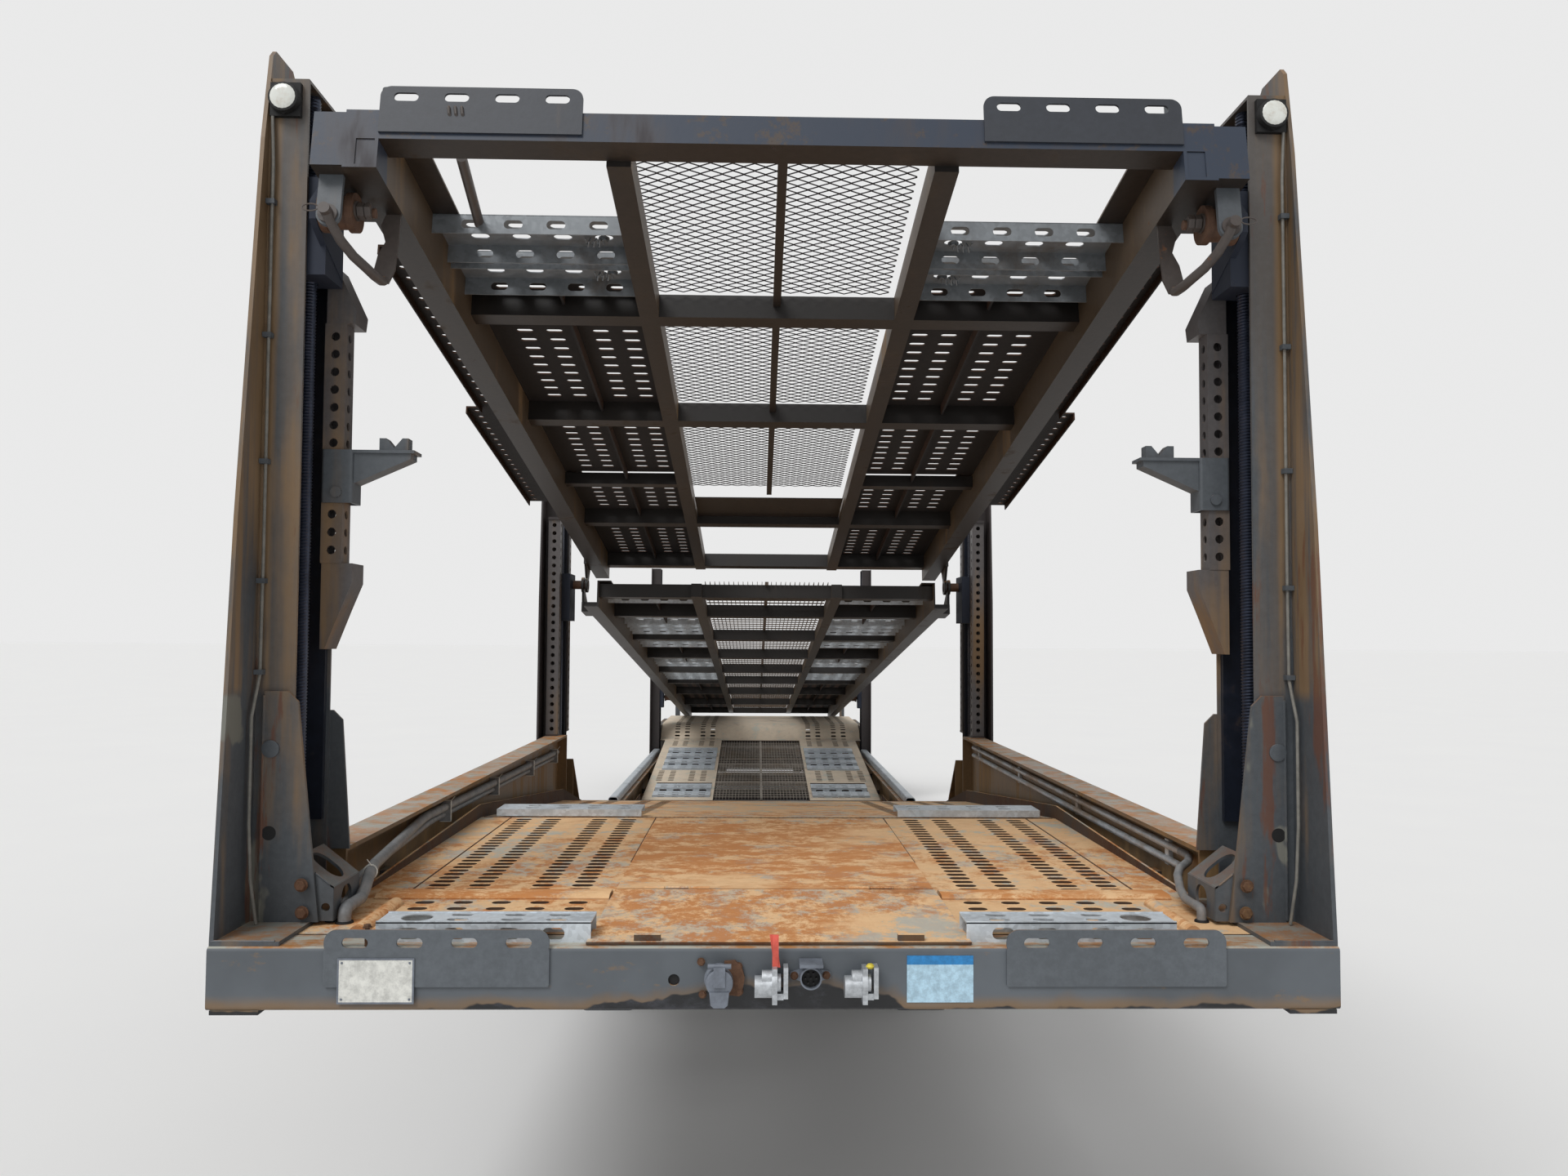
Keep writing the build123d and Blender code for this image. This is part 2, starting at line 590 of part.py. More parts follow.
# Deck rests that clamp round the struts, each with a gusset and a notched top for the deck beam
REST_TEETH = [(960, 2372), (960, 2405), (975, 2405), (996, 2380), (1017, 2405), (1034, 2405), (1034, 2372)]
with BuildPart() as deck_rests:
    with BuildSketch(Plane(origin=(1135, at(380), 2235))):
        RectangleRounded(80, 74, 8)
        Rectangle(STRUT_WIDE + 1, STRUT_DEEP + 1, mode=Mode.SUBTRACT)
    extrude(amount=137)
    front_profile(352, 56, [(1096, 2285), (1096, 2364), (950, 2364), (950, 2350)])
    block((940, 1100), (at(346), at(414)), (2364, 2372))
    front_profile(362, 36, REST_TEETH)
    with Locations(forward_plane(1135, 343, 2262)):
        Cylinder(14, 12)
    mirror(about=Plane.YZ)
save(deck_rests, "deck_rests")

# Mid posts with the brackets of the struts before and behind
MID_BRACKETS = [(3960, 4050), (4290, 4380)]
with BuildPart() as mid_posts:
    post_channel(MID_CHANNEL, 340, MID_POST_TOP)
    side_profile(CHANNEL_OUT, PLATE_T, [(3880, 340), (3900, 2100), (3960, 2900), (4290, 2900), (4290, 340)])
    for front, rear in MID_BRACKETS:
        block((CHANNEL_IN, 1238), (at(front), at(rear)), (1340, 1350))
        block((CHANNEL_IN, 1238), (at(front), at(rear)), (2560, 2575))
    mirror(about=Plane.YZ)
save(mid_posts, "mid_posts")

# Rear posts
with BuildPart() as rear_posts:
    post_channel(REAR_CHANNEL, 340, REAR_POST_TOP)
    side_profile(CHANNEL_OUT, PLATE_T, [(10850, 340), (10860, 1900), (10900, 2700), (11180, 2700), (11180, 340)])
    mirror(about=Plane.YZ)
save(rear_posts, "rear_posts")

# Tail stanchions at the rear corners of the wheel deck
with BuildPart() as tail_stanchions:
    side_profile(1095, 60, [(13400, 789), (13480, 778), (13480, 1180), (13400, 1180)])
    mirror(about=Plane.YZ)
save(tail_stanchions, "tail_stanchions")

# Mid carriages: shoe in the post and the pin that both upper decks turn on
SHOE_WIDE = 122
SHOE_MIDDLE = 1189
with BuildPart() as mid_carriages:
    with BuildSketch(Plane.XY.offset(1990)):
        with Locations((SHOE_MIDDLE, at(MID_CHANNEL + 108))):
            Rectangle(SHOE_WIDE, 196)
        with Locations((SCREW_X, at(MID_CHANNEL + 90))):
            Circle(SCREW_R + 1.5, mode=Mode.SUBTRACT)
    extrude(amount=270)
    with Locations(Location((1084, at(PIVOT_STATION), PIVOT_Z), (0, 90, 0))):
        Cylinder(PIN_R, 96)
    mirror(about=Plane.YZ)
save(mid_carriages, "mid_carriages")

# Spool roller that a deck's shelf stands over: inner flange, barrel and stub, as (x, radius)
SPOOL = [(992, 12), (1036, 12), (1036, ROLLER_R), (1054, ROLLER_R), (1054, 40), (1104, 40),
         (1104, ROLLER_R), (1120, ROLLER_R), (1120, 16), (1130, 16), (1130, 0), (992, 0)]


def carriage(front, station, middle_z, low, top):
    """Sliding shoe on the screw, and the spool roller that carries the deck's shelf."""
    with BuildSketch(Plane.XY.offset(low)) as shoe:
        with Locations((SHOE_MIDDLE, at(front + 74))):
            Rectangle(SHOE_WIDE, 120)
        with Locations((SCREW_X, at(front + 90))):
            Circle(SCREW_R + 1.5, mode=Mode.SUBTRACT)
    extrude(shoe.sketch, amount=top - low)
    with BuildSketch(forward_plane(0, station, middle_z)) as half_spool:
        with BuildLine():
            Polyline(SPOOL, close=True)
        make_face()
    revolve(half_spool.sketch, axis=Axis((0, at(station), middle_z), (1, 0, 0)))


FRONT_SHELF_Z = deck_height(FRONT_ROLLER_STATION, FRONT_DECK_START, FRONT_DECK_LOW, FRONT_DECK_SLOPE,
                            SHELF_FRONT_W)
REAR_SHELF_Z = deck_height(REAR_ROLLER_STATION, REAR_DECK_START, REAR_DECK_LOW, REAR_DECK_SLOPE,
                           SHELF_REAR_W)
FRONT_ROLLER_Z = FRONT_SHELF_Z - ROLLER_GAP - ROLLER_R
REAR_ROLLER_Z = REAR_SHELF_Z - ROLLER_GAP - ROLLER_R

with BuildPart() as front_carriages:
    carriage(FRONT_CHANNEL, FRONT_ROLLER_STATION, FRONT_ROLLER_Z, 2785, 3030)
    side_profile(1126, 16, [(140, FRONT_ROLLER_Z - 25), (160, FRONT_ROLLER_Z - 40), (330, 2800),
                            (330, 3000), (215, 3020), (150, FRONT_ROLLER_Z + 30), (140, FRONT_ROLLER_Z + 20)])
    mirror(about=Plane.YZ)
save(front_carriages, "front_carriages")

with BuildPart() as rear_carriages:
    carriage(REAR_CHANNEL, REAR_ROLLER_STATION, REAR_ROLLER_Z, 1090, 1330)
    block((1126, 1142), (at(REAR_ROLLER_STATION - 50), at(REAR_ROLLER_STATION + 12)), (1150, 1270))
    mirror(about=Plane.YZ)
save(rear_carriages, "rear_carriages")


# Section of a deck's side beam: foot outwards, web and head inwards, as (x, height)
BEAM_SECTION = [(WEB_X, 0), (DECK_HALF, 0), (DECK_HALF, 8), (WEB_X + 8, 8), (WEB_X + 8, BEAM_HIGH),
                (WEB_X - 70, BEAM_HIGH), (WEB_X - 70, BEAM_HIGH - 6), (WEB_X, BEAM_HIGH - 6)]
TRACK_RIB_X = 668
TRACK_RIB_LOW = 97


def deck_beams(deck, long):
    """Side beams of an upper deck, run out from their section."""
    for side in (-1, 1):
        with BuildSketch(deck_face(deck, 0, 0, 0)) as section:
            with BuildLine():
                Polyline([(side * x, w) for x, w in BEAM_SECTION], close=True)
            make_face()
        extrude(section.sketch, amount=-long)


def deck_ladder(long, ties, start=0):
    """Inner rails and cross ties of an upper deck, in the deck's own plane."""
    for side in (-1, 1):
        block(sorted((side * RAIL_IN, side * RAIL_OUT)), (start, long), (60, TRACK_W))
    for tie in ties:
        block((-WEB_X - 5, WEB_X + 5), (tie, tie + 70), (60, TRACK_W))


def deck_tracks(deck, bays):
    """Track plates on both sides of a deck, each with a rib along its middle, between the ties."""
    for start, end in bays:
        with BuildSketch(deck_face(deck, 0, start, 0)) as section:
            for side in (-1, 1):
                with Locations((side * (RAIL_OUT + WEB_X) / 2, TRACK_W + TRACK_T / 2)):
                    Rectangle(WEB_X - RAIL_OUT, TRACK_T)
                with Locations((side * TRACK_RIB_X, (TRACK_RIB_LOW + TRACK_W) / 2)):
                    Rectangle(8, TRACK_W - TRACK_RIB_LOW)
        extrude(section.sketch, amount=start - end)


def pivot_lug(outer, clear, flank):
    """Round-ended lug on the pivot pin, from an inner face at outer and a flank of beam points."""
    for side in (-1, 1):
        with BuildSketch(Plane.YZ.offset(min(side * outer, side * (outer + 14)))) as lug:
            with BuildLine():
                Polyline([(at(s), z) for s, z in flank] + [(at(PIVOT_STATION), PIVOT_Z)], close=True)
            make_face()
            with Locations((at(PIVOT_STATION), PIVOT_Z)):
                Circle(44)
                Circle(PIN_R + clear, mode=Mode.SUBTRACT)
        extrude(lug.sketch, amount=14)


# Front upper deck frame with corner shelves and pivot lugs
FRONT_TIES = [920, 1860, 3400, 4380]
SHELF_X = (1007, 1110)
SHELF_LONG = 262
SHELF_TOP_W = 143
with BuildPart(FRONT_DECK) as front_deck_frame:
    deck_ladder(FRONT_DECK_LONG, FRONT_TIES, 80)
    block((-DECK_HALF, DECK_HALF), (0, 80), (75, BEAM_HIGH))
    block((-12, 12), (80, 3000), (100, TRACK_W))
    for side in (-1, 1):
        block(sorted((side * (WEB_X + 5), side * RAIL_OUT)), (2760, 2810), (76, 130))
        block(sorted((side * SHELF_X[0], side * SHELF_X[1])), (0, SHELF_LONG), (SHELF_FRONT_W, SHELF_TOP_W))
        block(sorted((side * WEB_X, side * 1053)), (4080, 4260), (0, 60))
    block((-365, 365), (3060, 3400), (100, 104))
with BuildPart() as front_deck_beams:
    deck_beams(FRONT_DECK, FRONT_DECK_LONG)
    pivot_lug(1039, 1, [(4090, 2330), (4260, 2302)])
front_deck_frame.part = front_deck_frame.part + front_deck_beams.part
save(front_deck_frame, "front_deck_frame")

# Corner fittings of the front deck: stub for a handrail, hanger arm with its pin, and the hooked lock bar
# that ends in a strap plate. Distances are in the deck's own plane.
ARM_X = 1073.5
ARM_V = 42
ARM_WIDE = 57
ARM_PIN_W = -97
LOCK_V = 22
STRAP_OUTLINE = [(1000, -95), (1015, -68), (1030, -95), (1030, -190), (1022, -212), (1008, -212), (1000, -190)]
with BuildPart() as corner_fittings:
    for side in (-1, 1):
        with Locations(FRONT_DECK * Location((side * 1024, 238, SHELF_TOP_W + 112))):
            Cylinder(15, 224)
        with BuildSketch(deck_face(FRONT_DECK, side * ARM_X, ARM_V, 0)) as arm:
            with Locations((0, (ARM_PIN_W + SHELF_FRONT_W) / 2)):
                Rectangle(ARM_WIDE, SHELF_FRONT_W - ARM_PIN_W)
            with Locations((0, ARM_PIN_W)):
                Circle(ARM_WIDE / 2)
        extrude(arm.sketch, amount=-12)
        with Locations(deck_face(FRONT_DECK, side * ARM_X, (ARM_V + LOCK_V) / 2, ARM_PIN_W)):
            Cylinder(14, ARM_V - LOCK_V + 24)
        lock_face = deck_face(FRONT_DECK, 0, LOCK_V, 0)
        with BuildLine(lock_face) as lock_route:
            FilletPolyline((side * ARM_X, ARM_PIN_W), (side * 1066, -165), (side * 1016, -200), radius=28)
        with BuildSketch(Plane(origin=lock_route.line @ 0, z_dir=lock_route.line % 0)) as lock_section:
            Circle(13)
        sweep(lock_section.sketch, path=lock_route.line)
        with BuildSketch(lock_face) as strap:
            with BuildLine():
                Polyline([(side * x, w) for x, w in STRAP_OUTLINE], close=True)
            make_face()
        extrude(strap.sketch, amount=6, both=True)
save(corner_fittings, "corner_fittings")

# Side strips along the outside of the front deck's beams: start, end and outer edge of each length
SIDE_STRIPS = [(650, 1960, 1165), (1960, 3300, 1225)]
with BuildPart(FRONT_DECK) as deck_side_strips:
    for start, end, edge in SIDE_STRIPS:
        for side in (-1, 1):
            block(sorted((side * (WEB_X + 8), side * edge)), (start, end), (BEAM_HIGH - 6, BEAM_HIGH))
            block(sorted((side * (edge - 5), side * edge)), (start, end), (BEAM_HIGH - 30, BEAM_HIGH))
save(deck_side_strips, "deck_side_strips")

# Lashing rails on the front deck beam
with BuildPart() as deck_lashing_rails:
    for middle in (-717, 717):
        with BuildSketch(deck_face(FRONT_DECK, middle, 0, BEAM_HIGH)):
            RectangleRounded(478, 120, 26)
            with Locations((0, -20)):
                Rectangle(478, 80)
            with Locations((0, 32)):
                with GridLocations(119, 1, 4, 1):
                    SlotOverall(58, 22, mode=Mode.SUBTRACT)
        extrude(amount=6)
save(deck_lashing_rails, "deck_lashing_rails")

# Wheel tracks of the front upper deck: start and end of each folded plate between the ties
FRONT_TRACK_BAYS = [(840, 920), (990, 1860), (1930, 2760), (2810, 3400), (3470, 4380)]
with BuildPart() as front_deck_tracks:
    deck_tracks(FRONT_DECK, FRONT_TRACK_BAYS)
save(front_deck_tracks, "front_deck_tracks")

# Expanded metal of the front upper deck's centre bays: start and end of each
FRONT_MESH_BAYS = [(80, 920), (990, 1860), (1930, 3000)]
with BuildPart(FRONT_DECK) as front_deck_mesh:
    for start, end in FRONT_MESH_BAYS:
        block((-380, 380), (start, end), (TRACK_W, TRACK_W + 4))
save(front_deck_mesh, "front_deck_mesh")

# Loose galvanised planks of the front upper deck
FRONT_PLANKS = [420, 625]
with BuildPart() as front_deck_planks:
    for start in FRONT_PLANKS:
        plank(FRONT_DECK, (RAIL_OUT, WEB_X), (start, start + 170), 143, 55)
    mirror(about=Plane.YZ)
save(front_deck_planks, "front_deck_planks")

# Rear upper deck frame with shelves over the rear carriages and pivot lugs
REAR_TIES = [30, 760, 1900, 3060, 4240, 5360, 6660, 8240, 9840]
with BuildPart(REAR_DECK) as rear_deck_frame:
    deck_ladder(REAR_DECK_LONG, REAR_TIES)
    for side in (-1, 1):
        block(sorted((side * WEB_X, side * 1110)), (6950, 7350), (SHELF_REAR_W, BEAM_HIGH))
        block(sorted((side * WEB_X, side * 1077)), (190, 370), (0, 56))
with BuildPart() as rear_deck_beams:
    deck_beams(REAR_DECK, REAR_DECK_LONG)
    pivot_lug(1061, 1, [(4170, 2050), (4330, 2040), (4330, 2080)])
rear_deck_frame.part = rear_deck_frame.part + rear_deck_beams.part
save(rear_deck_frame, "rear_deck_frame")

# Wheel tracks of the rear upper deck; the bays between them hold the loose planks
REAR_TRACK_BAYS = [(470, 760), (830, 1320), (1970, 2260), (2680, 3060), (3130, 3700), (4310, 4400),
                   (5430, 6660), (6730, 8240), (8310, 9840)]
with BuildPart() as rear_deck_tracks:
    deck_tracks(REAR_DECK, REAR_TRACK_BAYS)
save(rear_deck_tracks, "rear_deck_tracks")

REAR_PLANKS = [100, 280, 1330, 1510, 1690, 2270, 2450, 3710, 3890, 4420, 4600, 4780, 4960, 5140]
with BuildPart() as rear_deck_planks:
    for start in REAR_PLANKS:
        plank(REAR_DECK, (RAIL_OUT, WEB_X), (start, start + 165), 143)
    mirror(about=Plane.YZ)
save(rear_deck_planks, "rear_deck_planks")

# Bar grating along the middle of the rear upper deck: long bars with cross bars under them
GRATING_HIGH = 13
with BuildPart() as rear_deck_grating:
    with BuildSketch(REAR_DECK.offset(TRACK_W)):
        with Locations((0, REAR_DECK_LONG / 2)):
            with GridLocations(56, 1, 14, 1):
                Rectangle(4, REAR_DECK_LONG)
    extrude(amount=GRATING_HIGH)
    with BuildSketch(REAR_DECK.offset(TRACK_W - 5)):
        with Locations((0, REAR_DECK_LONG / 2)):
            with GridLocations(1, 1230, 1, 7):
                Rectangle(738, 8)
    extrude(amount=5)
save(rear_deck_grating, "rear_deck_grating")

# Two steel pipes clipped along the left side frame
PIPE_X = 1166
PIPE_START = 700
PIPE_END = 3900
with BuildPart() as side_pipes:
    with BuildSketch(Plane.XZ.offset(-at(PIPE_START))):
        for z in (1248, 1290):
            with Locations((PIPE_X, z)):
                Circle(11)
    extrude(amount=-(PIPE_END - PIPE_START))
    for clamp in range(4):
        start = 800 + clamp * 980
        block((PIPE_X, PIPE_X + 14), (at(start), at(start + 30)), (1232, 1306))
save(side_pipes, "side_pipes")


def cord(points, radius):
    """Cable or hose along a route of short straight runs with mitred bends; points are (x, station, z)."""
    with BuildLine() as route:
        Polyline([(x, at(s), z) for x, s, z in points])
    with BuildSketch(Plane(origin=route.line @ 0, z_dir=route.line % 0)) as section:
        Circle(radius)
    sweep(section.sketch, path=route.line, transition=Transition.RIGHT)


# Cables tied along the right side frame, and the hose that runs on from the left side's upper pipe
# Each route comes out of its foot bracket, with the radius of its cord
CORD_ROUTES = [
    (15, [(-1050, 240, 1234), (-1050, 340, 1234), (-1053, 380, 1248), (-1057, 430, 1280), (-1062, 480, 1292),
          (-1158, 1260, 1290), (-1163, 1340, 1290), (-1163, 3900, 1258)]),
    (10, [(-1085, 250, 1229), (-1085, 340, 1229), (-1088, 390, 1241), (-1092, 440, 1259), (-1098, 490, 1264),
          (-1164, 1360, 1263), (-1168, 1440, 1262), (-1168, 3900, 1230)]),
    (11, [(1050, 250, 1232), (1050, 350, 1232), (1055, 400, 1246), (1070, 460, 1270), (1090, 500, 1280),
          (1135, 560, 1287), (1158, 610, 1290), (1166, 660, 1290), (1166, 700, 1290)])]
TIE_STATIONS = [1560, 2340, 3120, 3800]
with BuildPart() as cable_bundle:
    for radius, points in CORD_ROUTES:
        cord(points, radius)
    for station in TIE_STATIONS:
        middle = 1274 - (station - 1400) * 0.0128
        block((-1180, -1144), (at(station), at(station + 8)), (middle - 34, middle + 36))
save(cable_bundle, "cable_bundle")

# Round marker lamps near the tops of the front posts
with BuildPart() as marker_lamps:
    for x in (-1225, 1225):
        lamp = forward_plane(x, 200, 3212)
        with BuildSketch(lamp):
            RectangleRounded(76, 84, 14)
        extrude(amount=22)
        with BuildSketch(lamp.offset(22)):
            Circle(34)
        extrude(amount=14)
save(marker_lamps, "marker_lamps")

# Air and electrical couplings on the crossmember: x, height, radius and depth of each body
COUPLINGS = [(-134, 1131, 27, 45), (69, 1140, 27, 42), (-22, 1130, 25, 59), (178, 1130, 25, 59)]
with BuildPart() as service_couplings:
    for x, z, radius, deep in COUPLINGS:
        face = forward_plane(x, 0, z)
        with BuildSketch(face):
            RectangleRounded(66, 66, 8)
        extrude(amount=8)
        with BuildSketch(face.offset(8)):
            Circle(radius)
        extrude(amount=deep)
save(service_couplings, "service_couplings")

# Loading ramps that slide out behind, between the wheels
for side_name, side in (("left", 1), ("right", -1)):
    with BuildPart() as ramp:
        for rail in (60, 330):
            block(sorted((side * rail, side * (rail + 30))), (at(11760), at(13756)), (575, 640))
        with BuildSketch(Plane.XY.offset(605)):
            with Locations((side * 210, at(12757))):
                with GridLocations(1, 148, 1, 14):
                    Rectangle(240, 30)
        extrude(amount=35)
    save(ramp, f"loading_ramp_{side_name}")
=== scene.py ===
import math
import random
from contextlib import contextmanager

import bmesh
import bpy
from bpy.props import FloatProperty, FloatVectorProperty, IntProperty, PointerProperty
from mathutils import Matrix, Vector


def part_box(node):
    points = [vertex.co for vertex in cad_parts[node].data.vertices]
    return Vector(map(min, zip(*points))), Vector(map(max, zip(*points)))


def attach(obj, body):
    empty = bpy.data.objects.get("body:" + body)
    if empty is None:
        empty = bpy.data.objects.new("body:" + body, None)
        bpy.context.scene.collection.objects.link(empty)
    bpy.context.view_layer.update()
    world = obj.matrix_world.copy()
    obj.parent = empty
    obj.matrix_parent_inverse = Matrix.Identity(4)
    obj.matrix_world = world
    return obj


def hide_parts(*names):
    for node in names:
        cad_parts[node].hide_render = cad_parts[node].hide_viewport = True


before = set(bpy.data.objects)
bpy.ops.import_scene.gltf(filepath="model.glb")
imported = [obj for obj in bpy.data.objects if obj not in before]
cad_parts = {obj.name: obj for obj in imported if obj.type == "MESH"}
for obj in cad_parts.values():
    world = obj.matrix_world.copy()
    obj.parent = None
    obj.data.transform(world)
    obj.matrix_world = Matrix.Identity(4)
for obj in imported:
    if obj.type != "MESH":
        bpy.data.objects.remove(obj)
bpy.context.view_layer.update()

bl_info = {
    "name": "Car transporter semi-trailer",
    "version": (1, 0, 0),
    "blender": (4, 5, 0),
    "location": "3D View > Sidebar > Transporter",
    "description": "Finishes, perforated decks, screws, wheels and fittings of a car transporter trailer",
    "category": "Object",
}

# The trailer's frame: metres, X across with its own left at +X, Y back from the front, Z up
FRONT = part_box("front_crossmember")[0].y
PLATFORM_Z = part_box("front_crossmember")[1].z
TYRE_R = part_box("front_left_tyres")[1].z / 2
X_AXIS, Y_AXIS, Z_AXIS = Vector((1, 0, 0)), Vector((0, 1, 0)), Vector((0, 0, 1))
AHEAD, DOWN = Vector((0, -1, 0)), Vector((0, 0, -1))
SIDES = (-1, 1)


def at(station):
    """Y of a point that lies a distance back from the front face of the crossmember."""
    return FRONT + station


def frame_matrix(origin, x_axis, y_axis, z_axis):
    """Matrix of a local frame given by its origin and axes."""
    return Matrix.Translation(origin) @ Matrix((x_axis, y_axis, z_axis)).transposed().to_4x4()


def turned_to(origin, direction):
    """Matrix that turns Z to a direction and moves the origin to a point."""
    return Matrix.Translation(origin) @ Vector(direction).to_track_quat("Z", "Y").to_matrix().to_4x4()


def front_view(x, y, z=0):
    """Placing whose X and Y are the trailer's X and Z, and whose Z looks ahead."""
    return frame_matrix(Vector((x, y, z)), X_AXIS, Z_AXIS, AHEAD)


def side_view(x=0, y=0):
    """Placing whose X and Y are the trailer's Y and Z, so that a prism runs across the trailer."""
    return frame_matrix(Vector((x, y, 0)), Y_AXIS, Z_AXIS, X_AXIS)


def deck_matrix(station, low, slope):
    """Placing of an upper deck: its own X across, Y back along the beams, Z square to the deck."""
    tilt = math.radians(slope)
    along = Vector((0, math.cos(tilt), -math.sin(tilt)))
    square = Vector((0, math.sin(tilt), math.cos(tilt)))
    return frame_matrix(Vector((0, at(station), low)), X_AXIS, along, square)


def slope_matrix(start, end):
    """Placing on a slope between two (station, height) points: Y along it and Z square to it."""
    along = Vector((0, end[0] - start[0], end[1] - start[1])).normalized()
    return frame_matrix(Vector((0, at(start[0]), start[1])), X_AXIS, along, X_AXIS.cross(along))


FRONT_DECK = deck_matrix(0.050, 2.990, 9.45)
REAR_DECK = deck_matrix(3.980, 2.070, 7.43)
SLOPE_START, SLOPE_END = (1.900, PLATFORM_Z), (3.850, 0.997)
RAMP_START, RAMP_TILT, RAMP_LONG = (8.210, 0.402), math.radians(6.3), 2.805
RAMP = slope_matrix(RAMP_START, (RAMP_START[0] + math.cos(RAMP_TILT), RAMP_START[1] + math.sin(RAMP_TILT)))


def on_side(side, *values):
    """Distances from the middle as sorted places on one side, -1 or 1."""
    return sorted(side * value for value in values)


def both_sides(*values):
    """Distances from the middle as sorted places on both sides."""
    return sorted([-value for value in values] + list(values))


def side_outline(*points):
    """Outline in the side view from (station, height) points."""
    return [(at(station), height) for station, height in points]


def on_circle(radius, angle):
    return radius * math.cos(angle), radius * math.sin(angle)


def mirrored(points):
    """Points of (radius, height), followed back by the same points at the opposite heights."""
    return points + [(radius, -height) for radius, height in reversed(points)]


def shade(red, green, blue):
    """Scene colour of a paint or metal given as it looks, from 0 to 255."""
    return tuple(((value / 255 + 0.055) / 1.055) ** 2.4 if value > 10 else value / 255 / 12.92
                 for value in (red, green, blue))


def sleeve_faces(rows, sides):
    """Faces between rows of corners, from each row to the next, with both ends closed."""
    faces = []
    for row in range(rows - 1):
        for side in range(sides):
            a, b = row * sides + side, row * sides + (side + 1) % sides
            faces.append((a, b, b + sides, a + sides))
    return faces + [tuple(range(sides)), tuple(range((rows - 1) * sides, rows * sides))]


